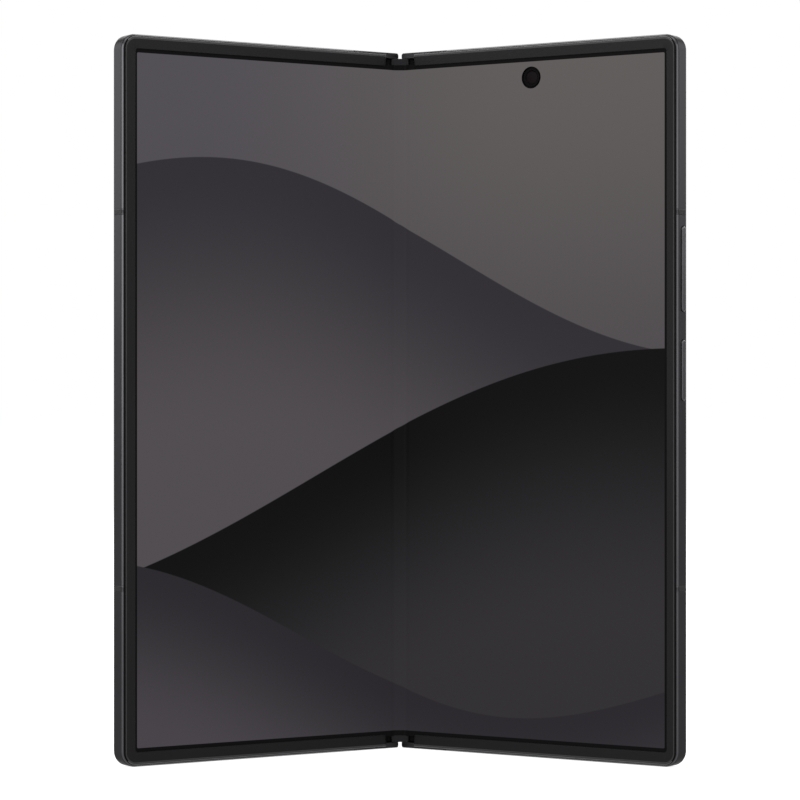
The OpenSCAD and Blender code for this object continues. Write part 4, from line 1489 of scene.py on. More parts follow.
@dataclass(frozen=True)
class BezelRing:
    """The polymer ring round one half of the screen, open at the spine."""

    side: Side
    inner: float
    inset: float = 0.65
    end_inset: float = 0.41
    end: float = 4.0
    low: float = 3.15
    outer_corner: float = 2.75
    inner_corner: float = 0.7
    depth: float = 0.8
    screen_depth: float = 0.28
    outer_round: float = 0.32
    end_outer_round: float = 0.6
    end_flat: float = 0.3
    inner_round: float = 0.12
    side_lap: float = 0.65
    end_lap: float = 0.5
    end_round: float = 0.6
    end_drop: float = 0.25
    ledge: float = 0.2
    end_ledge: float = 0.01
    ledge_depth: float = 0.4
    # Section rows that wear the rim's painted highlight, and at the ends the brighter painted glint.
    rim: tuple[int, int] = (6, 10)
    end_glint_rows: tuple[int, int] = (2, 7)
    end_steps: int = 6
    corner_steps: int = 16

    def side_share(self, lap: float) -> float:
        """Gives 1 along the ring's side and 0 along its ends, from the screen's lap."""
        return (lap - self.end_lap) / (self.side_lap - self.end_lap)

    def section(self, width: float, lap: float, drop: float) -> list[Pair]:
        """Gives the ring's section.

        Args:
            width: Its width.
            lap: How far the screen reaches under it.
            drop: How far its top is lowered.

        Returns:
            Places (distance from the outer edge, depth), in order round the section.
        """
        share = self.side_share(lap)
        outer = min(self.end_outer_round + (self.outer_round - self.end_outer_round) * share, width / 2)
        inner = min(self.inner_round, width / 4)
        ledge = self.end_ledge + (self.ledge - self.end_ledge) * share
        flat = self.end_flat + (1.0 - self.end_flat) * share
        sunk = min(max(self.ledge_depth, drop + outer * flat + 0.02), self.depth - 0.05)
        crown = [(s, drop + w * flat) for s, w in arc((ledge + outer, outer), outer, 180, 270, 6)]
        crown += arc((width - inner, drop + inner), inner, 270, 360, 4)
        crown = [(s, min(w, self.screen_depth - 0.02)) if s > width / 2 else (s, min(w, self.depth - 0.1))
                 for s, w in crown]
        under = max(width - lap, width * 0.4)
        return [(0.0, self.depth), (0.0, sunk), (ledge, sunk), *crown, (width, self.screen_depth),
                (under, self.screen_depth), (under, self.depth)]

    def stations(self) -> list[tuple[tuple, tuple, float, float, float]]:
        """Gives the ring's stations from the bottom end of the ring to its top end.

        Returns:
            For each station its outer place, its inner place, the screen's lap, and how far the
            inner edge and the top draw back near the ring's ends.
        """
        outer_u = LAYOUT.half_width - self.inset
        lower = []
        for i in range(self.end_steps + 1):
            turn = math.pi / 2 * i / self.end_steps
            along = self.end_round * (1 - math.cos(turn))
            back = self.end_round * (1 - math.sin(turn))
            drop = self.end_drop * (1 - math.sin(turn)) ** 1.5
            lower.append(((self.end + along, self.end_inset), (self.end + along, self.low), self.end_lap,
                          back, drop))
        outer_mid = (outer_u - self.outer_corner, self.end_inset + self.outer_corner)
        inner_mid = (self.inner - self.inner_corner, self.low + self.inner_corner)
        for i in range(self.corner_steps + 1):
            turn = math.radians(-90 + 90 * i / self.corner_steps)
            lap = self.end_lap + (self.side_lap - self.end_lap) * smooth_step(i / self.corner_steps)
            lower.append((on_circle(outer_mid, self.outer_corner, turn),
                          on_circle(inner_mid, self.inner_corner, turn), lap, 0.0, 0.0))
        height = LAYOUT.body_height
        upper = [((o[0], height - o[1]), (i[0], height - i[1]), lap, back, drop)
                 for o, i, lap, back, drop in reversed(lower)]
        return lower + upper

    def build(self) -> Object:
        """Sweeps the section along the stations, with painted highlights on its rim.

        Returns:
            The bezel ring.
        """
        shape = Shape()
        rings, at_side = [], []
        for outer, inner, lap, back, drop in self.stations():
            across = Vector(inner) - Vector(outer)
            width = across.length
            across = across / width
            ring = []
            for s, w in self.section(width - back, lap, drop):
                spot = Vector(outer) + across * s
                ring.append((spot.x, w, spot.y))
            rings.append(ring)
            at_side.append(self.side_share(lap) > 0.5)
        made = shape.loft(rings)
        # Rim rows wear painted highlights, brighter still at the ring's ends.
        edge = {vert for ring in made for vert in ring[slice(*self.rim)]}
        ends = [ring for ring, side in zip(made, at_side) if not side]
        end = {vert for ring in ends for vert in ring[slice(*self.rim)]}
        fade = {vert for ring in ends for vert in ring[slice(*self.end_glint_rows)]}
        for face in shape.mesh.faces:
            for number, rim in enumerate((edge, end, fade), 1):
                if len(face.verts) == 4 and all(vert in rim for vert in face.verts):
                    face.material_index = number
        node = f"{self.side.word}_bezel"
        return make_piece(f"{node}_ring", shape.set_on(self.side),
                          (Palette.BEZEL, Palette.BEZEL_RIM_HIGHLIGHT, Palette.BEZEL_END, Palette.BEZEL_END_GLINT),
                          self.side.body, (node,))


# ---- the folding screen


@dataclass(frozen=True)
class FoldingScreen:
    """One half of the folding screen, which bends between the spine and its half."""

    side: Side
    inner: float
    front: float = 0.3
    back: float = 0.8
    low: float = 2.75
    lap: float = 0.6
    reach: float = 2.8
    hole: tuple[float, float, float] | None = None
    bend_steps: int = 28
    hole_steps: int = 64
    patch: float = 3.6

    @property
    def high(self) -> float:
        """Top edge of the screen."""
        return LAYOUT.body_height - self.low

    @property
    def reach_x(self) -> float:
        """X in the row frame where the bend ends, in millimetres."""
        return LAYOUT.bent(self.reach, self.front, 1.0)[0]

    def rest(self, u: float, w: float, z: float) -> Vector:
        """Gives where a flat place of the bending sheet lies at rest, in metres."""
        x, y = LAYOUT.at_rest(u, w, self.reach_x)
        return Vector((self.side.value * x, y, z)) * MM

    def columns(self) -> list[float]:
        """Gives the sheet's columns, close together over the bend.

        Returns:
            The distances from the spine at which the sheet is cut.
        """
        bend = [self.reach * i / self.bend_steps for i in range(self.bend_steps + 1)]
        outer = self.inner + self.lap
        if not self.hole:
            return [*bend, outer]
        return [*bend, self.hole[0] - self.patch, self.hole[0] + self.patch, outer]

    def rows(self) -> list[float]:
        """Gives the heights at which the columns are cut."""
        at_hole = [self.hole[1] - self.patch, self.hole[1] + self.patch] if self.hole else []
        return [self.low, *at_hole, self.high]

    def map_spot(self, point: FlatPoint) -> Pair:
        """Gives a flat place's spot on the picture's map."""
        return 0.5 + self.side.value * point[0] / MAP_WIDTH, point[2] / LAYOUT.body_height

    def ring_patch(self, shape: Shape, w: float, edge: dict[tuple, Vert], finish: int) -> list[Vert]:
        """Fills the square round the camera's hole.

        Args:
            shape: The screen's mesh.
            w: Depth of the face.
            edge: The square's own corners, by place.
            finish: Index of the material.

        Returns:
            The hole's rim.
        """
        u, z, radius = self.hole
        rim, square = [], []
        for i in range(self.hole_steps):
            turn = 2 * math.pi * i / self.hole_steps
            c, s = math.cos(turn), math.sin(turn)
            out = self.patch / max(abs(c), abs(s))
            spot = (round(u + out * c, 6), w, round(z + out * s, 6))
            if spot not in edge:
                edge[spot] = shape.mesh.verts.new(spot)
            square.append(edge[spot])
            rim.append(shape.mesh.verts.new((u + radius * c, w, z + radius * s)))
        shape.strip(rim, square, finish, self.map_spot)
        return rim

    def layer(self, shape: Shape, w: float, finish: int) -> tuple[dict, list]:
        """Adds the screen's front or back face.

        Args:
            shape: The screen's mesh.
            w: Depth of the face.
            finish: Index of the material.

        Returns:
            The face's vertices by place, and the rim of its hole.
        """
        known: dict[tuple, Vert] = {}

        def vert(u: float, z: float) -> Vert:
            """Gives the face's vertex at a place, and adds it the first time.

            Args:
                u: The place's distance from the spine.
                z: Its height.

            Returns:
                The vertex.
            """
            spot = (round(u, 6), w, round(z, 6))
            if spot not in known:
                known[spot] = shape.mesh.verts.new(spot)
            return known[spot]

        columns, rows = self.columns(), self.rows()
        rim: list = []
        holed = len(columns) - 3 if self.hole else -1
        if self.hole:
            rim = self.ring_patch(shape, w, known, finish)
        for i, (left, right) in enumerate(zip(columns, columns[1:])):
            for j, (bottom, top) in enumerate(zip(rows, rows[1:])):
                if i == holed and j == 1:
                    continue
                sides = [((left, bottom), (right, bottom)), ((right, bottom), (right, top)),
                         ((right, top), (left, top)), ((left, top), (left, bottom))]
                outline = []
                for start, end in sides:
                    vert(*start), vert(*end)
                    between = [v for v in known.values() if self.lies_between(v.co, start, end)]
                    between.sort(key=lambda v: (v.co.x - start[0]) ** 2 + (v.co.z - start[1]) ** 2)
                    outline += [vert(*start), *between]
                shape.face(outline, [self.map_spot(v.co) for v in outline], finish)
        return known, rim

    @staticmethod
    def lies_between(point: Vector, start: tuple, end: tuple) -> bool:
        """Says whether a place lies on a level or upright line, inside its ends.

        Args:
            point: The place.
            start: The line's first end, as distance from the spine and height.
            end: Its other end.

        Returns:
            Whether it lies on the line.
        """
        small = 1e-4
        if abs(start[0] - end[0]) < small:
            low, high = sorted((start[1], end[1]))
            return abs(point.x - start[0]) < small and low + small < point.z < high - small
        low, high = sorted((start[0], end[0]))
        return abs(point.z - start[1]) < small and low + small < point.x < high - small

    def build(self) -> Object:
        """Makes the screen as one closed sheet, bent to its resting shape.

        Returns:
            The screen's piece.
        """
        shape = Shape()
        front, rim = self.layer(shape, self.front, 0)
        back, back_rim = self.layer(shape, self.back, 1)
        shape.strip(rim, back_rim, 1)
        open_edges = [e for e in shape.mesh.edges if len(e.link_faces) == 1]
        behind = {vert: (spot[0], self.back, spot[2]) for spot, vert in front.items()}
        partner = {vert: back[spot] for vert, spot in behind.items() if spot in back}
        for edge in open_edges:
            a, b = edge.verts
            if a in partner and b in partner:
                shape.face((a, b, partner[b], partner[a]), finish=1)
        for vert in shape.mesh.verts:
            vert.co = self.rest(*vert.co)
        word = self.side.word
        replaced = (f"{word}_display", "fold_display") if self.side is Side.RIGHT else (f"{word}_display",)
        made = make_piece(f"screen_{word}", shape.mesh, (Palette.PICTURE, Palette.SCREEN_EDGE), None,
                          replaced, crease=45.0)
        reach = Vector((self.side.value * self.reach_x * MM, 0.0, 0.0))
        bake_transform(made)
        return made


@dataclass(frozen=True)
class FlexCable:
    """One half of the flexible cable that crosses the spine behind the screen."""

    side: Side
    front: float = 1.1
    thick: float = 0.1
    reach: float = 3.6
    half_height: float = 17.0
    bend: float = 2.8
    steps: int = 24

    def build(self) -> Object:
        """Sweeps the cable's section across the bend.

        Returns:
            The cable's piece.
        """
        middle = LAYOUT.body_height / 2
        low, high = middle - self.half_height, middle + self.half_height
        reach_x = LAYOUT.bent(self.bend, self.front, 1.0)[0]
        sign = self.side.value
        rings = []
        for i in range(self.steps + 1):
            u = self.reach * i / self.steps
            near, far = [LAYOUT.at_rest(u, w, reach_x) for w in (self.front, self.front + self.thick)]
            rings.append([(sign * spot[0], spot[1], z)
                          for spot, z in ((near, low), (near, high), (far, high), (far, low))])
        shape = Shape()
        shape.loft(rings)
        made = make_piece(f"flex_{self.side.word}", shape.set_on(None), (Palette.FILM,), None,
                          ("flex_cable",))
        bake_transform(made)
        return made


# ---- cameras


class LensKind(Enum):
    """The three rear cameras, with the radius of the opening in front of each lens."""

    ULTRAWIDE = 2.3
    WIDE = 3.3
    TELE = 2.8


@dataclass(frozen=True)
class RearCamera:
    """The raised camera island on the right half's back, with its rings, windows and lamp."""

    lens_u: float = 58.6
    lens_zs: tuple[float, ...] = (141.4, 122.6, 103.8)
    kinds: tuple[LensKind, ...] = (LensKind.ULTRAWIDE, LensKind.WIDE, LensKind.TELE)
    face: float = 6.8
    ring_face: float = 7.7
    ring_outer: float = 7.2
    ring_inner: float = 6.3
    glass_under: float = 7.0
    glass_top: float = 7.55
    glass_radius: float = 6.25
    flash_u: float = 44.3
    flash_radius: float = 2.1
    glass_face: float = 4.2
    stands_out: float = 0.3
    shoulder: float = 0.45
    ring_shoulder: float = 0.22
    ring_lip: float = 0.1
    groove: Pair = (0.42, 0.54)
    groove_slope: float = 0.03
    groove_deep: float = 0.04
    glass_round: float = 0.12
    glass_gap: float = 0.05
    stack_base: float = 1.6
    stack_half: float = 6.15
    stack_sunk: float = 1.9
    stack_round: float = 0.15
    print_radius: float = 5.1
    print_round: float = 0.06
    print_lip: float = 0.08
    first_step: float = 0.12
    baffles: int = 4
    step_in: float = 0.22
    step_down: float = 0.32
    riser: float = 0.28
    shelf: float = 0.16
    lens_gap: float = 0.05
    lens_back: float = 0.01
    lens_swell: float = 0.55
    flash_base: float = 2.95
    flash_steps: int = 5
    flash_rim: float = 0.25
    flash_deep: float = 0.16
    body: str = "right_half"

    def build_island(self) -> Object:
        """Makes the island with a soft shoulder round its face.

        Returns:
            The island.
        """

        def on_face(point: Vector) -> bool:
            """Says whether a place stands out behind the glass."""
            return LAYOUT.flat(Side.RIGHT, point)[1] > LAYOUT.body_depth + self.stands_out

        mesh = softened("camera_island", self.shoulder, on_face, segments=5)
        return make_piece("camera_island_shell", mesh, (Palette.ISLAND,), self.body,
                          ("camera_island",))

    def ring_profile(self) -> list[Pair]:
        """Gives a ring's closed section, with a cut outer shoulder and a groove in its face.

        Returns:
            Places (radius, depth), in order.
        """
        outer, inner, low, high = self.ring_outer, self.ring_inner, self.face, self.ring_face
        cut, soft, bed = self.ring_shoulder, self.ring_lip, high - self.groove_deep
        near, far = [outer - inset for inset in self.groove]
        shoulder = arc((outer - cut, high - cut), cut, 0, 90, 5)
        lip = arc((inner + soft, high - soft), soft, 90, 180, 4)
        groove = [(near, high), (near - self.groove_slope, bed), (far + self.groove_slope, bed), (far, high)]
        return [(outer, low), *shoulder, *groove, *lip, (inner, low)]

    def window_profile(self) -> list[Pair]:
        """Gives the section of the clear window over a lens."""
        radius, low, high, soft = self.glass_radius, self.glass_under, self.glass_top, self.glass_round
        return [(0.0, low), (radius, low), *arc((radius - soft, high - soft), soft, 0, 90, 4), (0.0, high)]

    def turn(self, name: str, z: float, profile: list[Pair], finish: Finish, slot: str,
             node: str) -> Object:
        """Turns a ring or a window about a lens's axis.

        Args:
            name: The piece's name.
            z: The lens's height.
            profile: Its section.
            finish: Its finish.
            slot: Not used.
            node: The CAD node that it stands for.

        Returns:
            The piece.
        """
        shape = Shape()
        shape.lathe(self.lens_u, z, profile, steps=128)
        return make_piece(name, shape.set_on(Side.RIGHT), (finish,), self.body, (node,), crease=40.0)

    def build_stack(self, number: int, z: float, kind: LensKind) -> Object:
        """Turns what lies under one window: a printed face, stepped baffles and the lens.

        Args:
            number: The lens's number, from the top.
            z: Its height.
            kind: Which camera it is.

        Returns:
            The stack.
        """
        top, opening, base = self.glass_under - self.glass_gap, kind.value, self.stack_base
        baffles = []
        for i in range(self.baffles):
            radius, depth = opening - self.step_in * i, top - self.first_step - self.step_down * i
            baffles += [(radius, depth), (radius, depth - self.riser),
                        (radius - self.shelf, depth - self.step_down)]
        floor_radius = opening - self.step_in * self.baffles
        bed = top - self.first_step - self.step_down * self.baffles
        edge, soft = self.print_radius, self.print_round
        printed = [(edge, base), (edge, top - soft), (edge - soft, top), (opening + self.print_lip, top),
                   (opening, top - self.print_lip)]
        shape = Shape()
        shape.lathe(self.lens_u, z, [(0.0, base), *printed, *baffles, (floor_radius, bed), (0.0, bed)])
        swell = self.lens_swell * floor_radius / 2.0
        dome = [(floor_radius * math.sin(t), bed + self.lens_gap + swell * math.cos(t))
                for t in [math.pi / 2 * (1 - i / 10) for i in range(10)]]
        back = bed + self.lens_back
        shape.lathe(self.lens_u, z, [(0.0, back), (floor_radius - 0.02, back), *dome[1:],
                                     (0.0, bed + self.lens_gap + swell)], steps=64, finish=1)
        half = self.stack_half
        shape.block((self.lens_u - half, self.lens_u + half), (base, self.face - self.stack_sunk),
                    (z - half, z + half), self.stack_round)
        return make_piece(f"lens_stack_{number}", shape.set_on(Side.RIGHT), (Palette.BLACK, Palette.LENS),
                          self.body, ("camera_modules",), crease=30.0)

    def build_flash(self) -> Object:
        """Turns the lamp's window, with the steps of its flat lens.

        Returns:
            The window.
        """
        radius, face, base, steps = self.flash_radius, self.glass_face, self.flash_base, self.flash_steps
        ridges = []
        for i in range(steps):
            outer, inner = [(radius - self.flash_rim) * (1 - n / steps) for n in (i, i + 1)]
            ridges += [(outer, face - self.flash_deep), ((outer + inner) / 2, face - self.flash_deep / 2),
                       (inner + 0.02, face - 0.10)]
        rim = [(radius, base), (radius, face - 0.1), (radius - 0.08, face), (radius - 0.2, face - 0.02)]
        shape = Shape()
        shape.lathe(self.flash_u, self.lens_zs[0], [(0.0, base), *rim, *ridges, (0.0, face - 0.1)], steps=64)
        return make_piece("flash_window", shape.set_on(Side.RIGHT), (Palette.FLASH,), self.body,
                          ("flash_lens",))

    def build(self) -> None:
        """Builds the island and everything on it."""
        self.build_island()
        for number, (z, kind) in enumerate(zip(self.lens_zs, self.kinds), 1):
            self.turn(f"lens_ring_{number}", z, self.ring_profile(), Palette.RING, "ring_metal",
                      "camera_rings")
            self.turn(f"lens_window_{number}", z, self.window_profile(), Palette.LENS_GLASS, "lens_glass",
                      "camera_lens_glasses")
            self.build_stack(number, z, kind)
        self.build_flash()


@dataclass(frozen=True)
class SmallCamera:
    """A small camera that looks out through a hole or a window."""

    side: Side
    u: float
    z: float
    rim: float
    barrel: float
    top: float
    base: float
    seat: float
    node: str
    mouth_share: float = 0.80
    throat_share: float = 0.72
    flange: tuple[float, float, float] = (0.35, 0.3, 0.28)
    edge: float = 0.04
    mouth_cut: float = 0.03
    throat_deep: float = 0.16
    floor_deep: float = 0.22
    lens_back: float = 0.215
    lens_edge: float = 0.21
    lens_swell: float = 0.15

    def build(self) -> Object:
        """Turns the seat, the barrel with its sloped mouth, and the lens.

        Returns:
            The camera's piece.
        """
        mouth, throat = self.barrel * self.mouth_share, self.barrel * self.throat_share
        at_seat, at_rim, at_barrel = [self.top + drop for drop in self.flange]
        outer = [(0.0, self.base), (self.seat, self.base), (self.seat, at_seat), (self.rim, at_rim),
                 (self.barrel, at_barrel), (self.barrel, self.top + self.edge),
                 (self.barrel - self.edge, self.top)]
        if self.side is Side.LEFT:
            outer = [(radius, self.base + self.top - w) for radius, w in outer]
        sign, face = self.side.value, outer[-1][1]
        floor, back = face + sign * self.floor_deep, face + sign * self.lens_back
        well = [(mouth, face), (mouth - self.mouth_cut, face + sign * self.mouth_cut),
                (throat, face + sign * self.throat_deep), (throat, floor), (0.0, floor)]
        shape = Shape()
        shape.lathe(self.u, self.z, [*outer, *well], steps=64)
        swell = [(throat * math.sin(t), face + sign * (self.lens_edge - self.lens_swell * math.cos(t)))
                 for t in [math.pi / 2 * (1 - i / 8) for i in range(8)]]
        lens = [(0.0, back), (throat - 0.01, back), *swell[1:],
                (0.0, face + sign * (self.lens_edge - self.lens_swell))]
        shape.lathe(self.u, self.z, lens, steps=48, finish=1)
        finishes = (Palette.BARREL, Palette.SMALL_LENS)
        return make_piece(f"{self.node}_barrel", shape.set_on(self.side), finishes, self.side.body,
                          (self.node,), crease=30.0)


# ---- glass, keys, port and tray


@dataclass(frozen=True)
class BackGlass(SoftPart):
    """The matt glass on the right half's back."""

    name: str = "rear_glass_panel"
    node: str = "rear_glass"
    width: float = 0.1
    finish: Finish = Palette.BACK_GLASS
    body: str = "right_half"
    slot: str = "back_glass"


@dataclass(frozen=True)
class CoverScreen:
    """The outer screen on the left half: clear glass, black print and the dark panel."""

    panel: tuple[float, float, float, float] = (5.8, 69.8, 3.6, 154.8)
    printed: tuple[float, float, float, float] = (4.85, 70.65, 0.95, 157.45)
    window: tuple[float, float, float, float] = (6.3, 69.3, 4.1, 154.3)
    back: float = 3.15
    face: float = 3.675
    print_back: float = 3.66
    print_face: float = 3.7
    hole_u: float = 37.5
    hole_z: float = 150.2
    hole_radius: float = 2.2
    panel_corner: float = 0.3
    printed_corner: float = 2.6
    window_corner: float = 1.6
    soft: float = 0.12

    def build(self) -> None:
        """Builds the glass and the panel under it."""
        SoftPart("cover_glass_panel", "cover_glass", self.soft, Palette.COVER_GLASS, "left_half",
                 "cover_glass").build()
        make_piece("cover_screen_panel", self.screen(), (Palette.PRINT, Palette.PANEL), "left_half",
                   ("cover_display",))

    def outline(self, sides: tuple[float, float, float, float], corner: float, w: float) -> list[FlatPoint]:
        """Gives a rounded outline.

        Args:
            sides: Its lowest and highest distance from the spine, its bottom and its top.
            corner: Radius of its corners.
            w: Its depth.

        Returns:
            Places in order.
        """
        low_u, high_u, low, high = sides
        spots = []
        for u, z, start in ((high_u - corner, high - corner, 0), (low_u + corner, high - corner, 90),
                            (low_u + corner, low + corner, 180), (high_u - corner, low + corner, 270)):
            spots += arc((u, z), corner, start, start + 90, 10)
        return [(u, w, z) for u, z in spots]

    def screen(self) -> Mesh:
        """Makes the panel, and the black print that reaches from its lit area to the glass's edge.

        Returns:
            The panel's mesh, in the row frame.
        """
        shape = Shape()
        steps = (
            (self.panel, self.panel_corner, (self.back, self.print_back)),
            (self.printed, self.printed_corner, (self.print_back, self.print_face)),
            (self.window, self.window_corner, (self.print_face, self.face)),
        )
        rings = [self.outline(sides, corner, w) for sides, corner, depths in steps for w in depths]
        rows = [[shape.mesh.verts.new(spot) for spot in ring] for ring in rings]
        for near, far in zip(rows, rows[1:]):
            shape.strip(near, far)
        front_rim = self.pierced(shape, rows[-1], self.face, 1)
        shape.strip(front_rim, self.pierced(shape, rows[0], self.back, 0))
        return shape.set_on(Side.LEFT)

    def pierced(self, shape: Shape, outline: list[Vert], w: float, finish: int) -> list[Vert]:
        """Fills a face of the panel round the camera's hole.

        Args:
            shape: The panel's mesh.
            outline: The face's outer corners, in order.
            w: Its depth.
            finish: Index of the material.

        Returns:
            The hole's rim, in order.
        """
        rim = shape.circle(self.hole_u, w, self.hole_z, self.hole_radius, len(outline))
        shape.strip(rim, outline, finish)
        return rim


@dataclass(frozen=True)
class SideKeys:
    """The volume and power keys on the right half's outer wall."""

    names: tuple[str, ...] = ("volume_key", "power_key")
    bevel: float = 0.24
    highlight_facing: Pair = (0.2, 0.97)

    def build(self) -> None:
        """Makes each key with a rounded face, whose front edge wears a painted highlight."""

        def outside(point: Vector) -> bool:
            """Says whether a place stands out of the outer wall."""
            return LAYOUT.flat(Side.RIGHT, point)[0] > LAYOUT.half_width

        outward = LAYOUT.along(Side.RIGHT, 1, 0).normalized()
        low, high = self.highlight_facing
        for name in self.names:
            mesh = softened(name, self.bevel, outside)
            mesh.normal_update()
            for face in mesh.faces:
                # Faces turned partly outward wear the painted highlight.
                if low < face.normal.dot(outward) < high:
                    face.material_index = 1
            make_piece(f"{name}_cap", mesh, (Palette.KEY, Palette.CUT_EDGE_HIGHLIGHT), name, (name,))


@dataclass(frozen=True)
class ChargingPort:
    """The charging port: its shell, and the tongue with its contacts."""

    u: float = 38.0
    w: float = 2.225
    straight: float = 2.9
    skin: float = 1.38
    tongue_half: float = 3.35
    tongue_thick: float = 0.7
    low: float = 1.2
    high: float = 7.5
    contacts: int = 12
    pitch: float = 0.5
    contact_width: float = 0.26
    contact_low: float = 1.55
    contact_high: float = 5.2
    contact_proud: float = 0.02
    tongue_round: float = 0.12

    def build(self) -> None:
        """Builds the shell and the tongue."""
        mesh = softened("usb_port", 0.03, segments=2)
        mesh.normal_update()
        for face in mesh.faces:
            u, w, _ = LAYOUT.flat(Side.RIGHT, face.calc_center_median())
            past = max(abs(u - self.u) - self.straight, 0.0)
            # The shell's faces outside the opening are painted black as shade.
            if math.hypot(past, w - self.w) > self.skin and abs(face.normal.z) < 0.5:
                face.material_index = 1
        make_piece("port_shell", mesh, (Palette.SHIELD, Palette.GASKET_AND_SHADE), "right_half",
                   ("usb_port",))
        self.build_tongue()

    def build_tongue(self) -> Object:
        """Makes the tongue with a row of contacts on each face.

        Returns:
            The tongue.
        """
        shape = Shape()
        half, wide = self.tongue_thick / 2, self.contact_width / 2
        shape.block((self.u - self.tongue_half, self.u + self.tongue_half), (self.w - half, self.w + half),
                    (self.low, self.high), self.tongue_round)
        first = self.u - self.pitch * (self.contacts - 1) / 2
        for i in range(self.contacts):
            middle = first + i * self.pitch
            for face in (self.w - half, self.w + half):
                shape.block((middle - wide, middle + wide),
                            (face - self.contact_proud, face + self.contact_proud),
                            (self.contact_low, self.contact_high), finish=1)
        return make_piece("port_tongue", shape.set_on(Side.RIGHT), (Palette.TONGUE, Palette.GOLD),
                          "right_half", ("usb_tongue",))


@dataclass(frozen=True)
class CardTray(SoftPart):
    """The card tray that slides out of the left half's top wall."""

    name: str = "card_tray"
    node: str = "sim_tray"
    width: float = 0.06
    finish: Finish = Palette.KEY
    body: str = "sim_tray"
    slot: str = "key_metal"
    segments: int = 2


@dataclass(frozen=True)
class Spine:
    """The hinge's cover and its end caps."""

    face_half: float = 2.12
    brim: Pair = (2.1, 2.8)
    brim_face: float = 0.2
    brim_thick: float = 0.09
    cover_soft: float = 0.06
    cap_soft: float = 0.12

    def build(self) -> None:
        """Makes the cover and caps with softened edges; the caps' deep faces down in the hollow are painted
        black as shade.
        """
        SoftPart("spine_shell", "spine_cover", self.cover_soft, Palette.SPINE, "spine", "spine_metal",
                 segments=2).build()
        caps = softened("spine_end_caps", self.cap_soft)
        for x in (-self.face_half, self.face_half):
            score(caps, (x * MM, 0.0, 0.0), (1.0, 0.0, 0.0))
        # The caps' deep faces beside the front face are painted black as shade.
        for face in caps.faces:
            middle = face.calc_center_median() / MM
            if abs(middle.x) > self.face_half and face.normal.y < -0.3:
                face.material_index = 1
        self.add_brims(caps)
        make_piece("spine_caps", caps, (Palette.CAP, Palette.GASKET_AND_SHADE), "spine",
                   ("spine_end_caps",))

    def add_brims(self, caps: Mesh) -> None:
        """Adds each cap's thin brim, which reaches to the screen's edge.

        Args:
            caps: The caps' mesh, in the row frame.
        """
        near, far = self.brim
        for low, high in ((near, far), (LAYOUT.body_height - far, LAYOUT.body_height - near)):
            made = bmesh.ops.create_cube(caps, size=1.0)["verts"]
            for vert in made:
                x = vert.co.x * 2 * (self.face_half - 0.17)
                y = LAYOUT.spine_y + self.brim_face + (vert.co.y + 0.5) * self.brim_thick
                z = low + (vert.co.z + 0.5) * (high - low)
                vert.co = Vector((x, y, z)) * MM
            edges = list({edge for vert in made for edge in vert.link_edges})
            bmesh.ops.bevel(caps, geom=edges, offset=self.brim_thick * 0.3 * MM, segments=2, profile=0.5,
                            affect="EDGES")


@dataclass(frozen=True)
class InnerParts:
    """The parts inside the phone, which keep their CAD shapes."""

    def finishes(self) -> dict[Finish, tuple[str, ...]]:
        """Lists the inner parts by the finish that they wear.

        Returns:
            For each finish the CAD nodes that wear it.
        """
        low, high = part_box("charging_coil")
        coil = Winding("copper_winding", (0.55, 0.28, 0.13), 0.3, tuple((low + high) / 2))
        return {
            Palette.STEEL: ("right_support_plate", "left_support_plate", "right_swing_arms",
                            "left_swing_arms", "right_arm_screws", "left_arm_screws", "board_screws",
                            "left_board_screws"),
            Palette.GEAR: ("hinge_bases", "right_sync_arms", "left_sync_arms", "right_idler_gears",
                           "left_idler_gears", "detent_springs"),
            Palette.SHIELD: ("board_shields", "left_shields", "sim_reader", "vibration_motor"),
            Palette.MAGNET: ("right_magnets", "left_magnets"),
            Palette.BOARD: ("main_board", "charging_board", "left_board"),
            Palette.CELL: ("right_battery", "left_battery"),
            Palette.BLACK: ("loudspeaker", "earpiece"),
            Palette.FILM: ("key_switch_board",),
            coil: ("charging_coil",),
        }

    def build(self) -> None:
        """Dresses every inner part."""
        for finish, nodes in self.finishes().items():
            for node in nodes:
                wear(node, finish)


# ---- studio


@dataclass(frozen=True)
class SoftLamp:
    """A large soft lamp."""

    name: str
    place: tuple[float, float, float]
    width: float
    height: float
    watts: float

    def build(self, target: Vector) -> Object:
        """Makes the lamp and turns it to the phone.

        Args:
            target: Where it points.

        Returns:
            The lamp.
        """
        data = bpy.data.lights.new(self.name, "AREA")
        data.shape = "RECTANGLE"
        data.size = self.width
        data.size_y = self.height
        data.energy = self.watts
        lamp = show(self.name, data)
        lamp.location = self.place
        lamp.rotation_euler = (target - lamp.location).to_track_quat("-Z", "Y").to_euler()
        return lamp


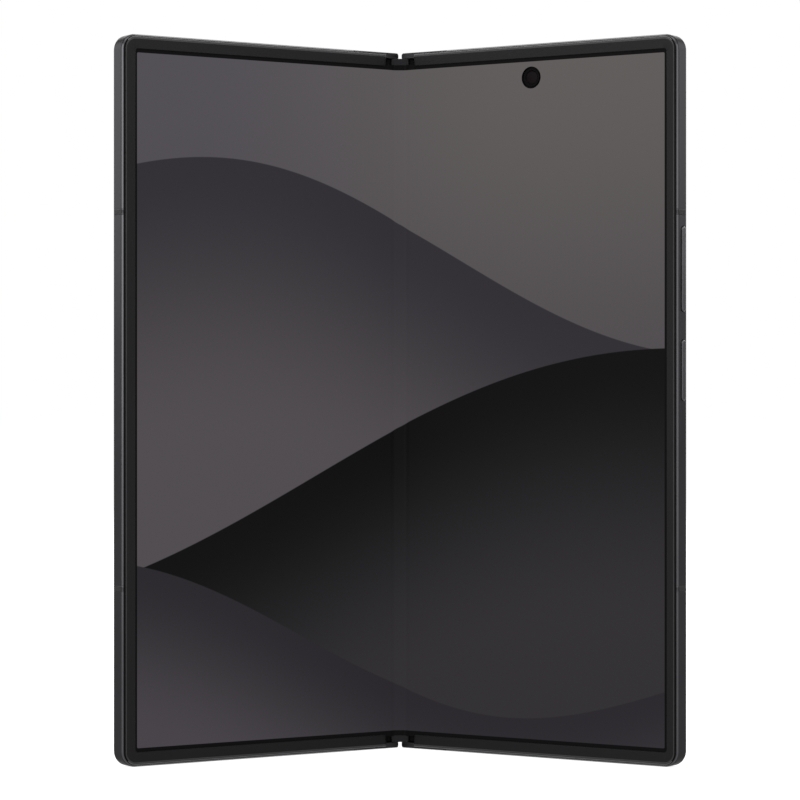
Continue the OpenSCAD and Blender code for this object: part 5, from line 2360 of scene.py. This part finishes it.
@dataclass(frozen=True)
class Studio:
    """The camera, the pale floor, the white surroundings and the lamps."""

    lens: float = 136.66
    sensor: float = 36.0
    distance: float = 0.67529
    height: float = 0.07929
    surround: float = 0.45

    def build_camera(self) -> Object:
        """Sets the camera level with the middle of the standing phone.

        Returns:
            The camera.
        """
        data = bpy.data.cameras.new("camera")
        data.lens = self.lens
        data.sensor_width = self.sensor
        data.clip_start = 0.01
        made = show("camera", data)
        made.location = (0.0, -self.distance, self.height)
        made.rotation_euler = (math.pi / 2, 0.0, 0.0)
        bpy.context.scene.camera = made
        return made

    def build_floor(self) -> Object:
        """Lays the pale floor.

        Returns:
            The floor.
        """
        mesh = bmesh.new()
        bmesh.ops.create_grid(mesh, x_segments=1, y_segments=1, size=12.0)
        data = bpy.data.meshes.new("studio_floor")
        mesh.to_mesh(data)
        mesh.free()
        data.materials.append(Palette.FLOOR.material())
        made = show("studio_floor", data)
        made.location = (0.0, 0.0, -0.0001)
        return made

    def build_surroundings(self) -> None:
        """Makes the world plain for lighting and white where it is seen."""
        world = bpy.data.worlds.new("surroundings")
        bpy.context.scene.world = world
        world.use_nodes = True
        sheet = Sheet(world.node_tree)
        back = world.node_tree.nodes["Background"]
        strength = sheet.ramp(sheet.seen(), 0.0, 1.0, self.surround, 1.0, smooth=False)
        sheet.put(back.inputs["Strength"], strength)
        sheet.put(back.inputs["Color"], WHITE)

    def build(self) -> None:
        """Builds everything round the phone except the camera."""
        self.build_floor()
        self.build_surroundings()
        middle = Vector((0.0, 0.0, self.height))
        lamps = (
            SoftLamp("lamp_front_left", (-0.80, -0.80, 0.42), 0.7, 0.8, 6.2),
            SoftLamp("lamp_front_right", (0.80, -0.80, 0.42), 0.7, 0.8, 3.5),
            SoftLamp("lamp_high", (0.0, -0.55, 1.15), 1.2, 1.2, 10.0),
            SoftLamp("lamp_wall_left", (-1.02, 0.46, 0.42), 0.9, 0.58, 7.3),
            SoftLamp("lamp_wall_right", (1.02, 0.46, 0.46), 0.9, 0.58, 6.2),
            SoftLamp("lamp_rear", (0.0, 0.9, 0.9), 1.2, 1.2, 8.0),
        )
        for lamp in lamps:
            lamp.build(middle)
        bpy.context.scene.view_settings.view_transform = "Standard"


# ---- the phone


def main() -> None:
    """Builds the studio and the phone, piece by piece."""
    logging.basicConfig(level=logging.INFO, format="%(message)s")
    studio = Studio()
    studio.build_camera()
    eye_u, eye_z = 34.82, 150.9
    bezel_inner = {Side.RIGHT: 68.8, Side.LEFT: 68.3}
    for side, inner in bezel_inner.items():
        Half(side, inner).build()
    FoldingScreen(Side.RIGHT, bezel_inner[Side.RIGHT], hole=(eye_u, eye_z, 2.44)).build()
    FoldingScreen(Side.LEFT, bezel_inner[Side.LEFT]).build()
    for side in Side:
        FlexCable(side).build()
    RearCamera().build()
    SmallCamera(Side.RIGHT, eye_u, eye_z, rim=2.42, barrel=2.03, top=0.45, base=2.6, seat=1.95,
                node="inner_camera").build()
    cover = CoverScreen()
    SmallCamera(Side.LEFT, cover.hole_u, cover.hole_z, rim=2.1, barrel=1.9, top=1.4, base=3.55, seat=2.1,
                node="cover_camera").build()
    BackGlass().build()
    cover.build()
    SideKeys().build()
    ChargingPort().build()
    CardTray().build()
    Spine().build()
    InnerParts().build()
    studio.build()


if __name__ == "__main__":
    main()
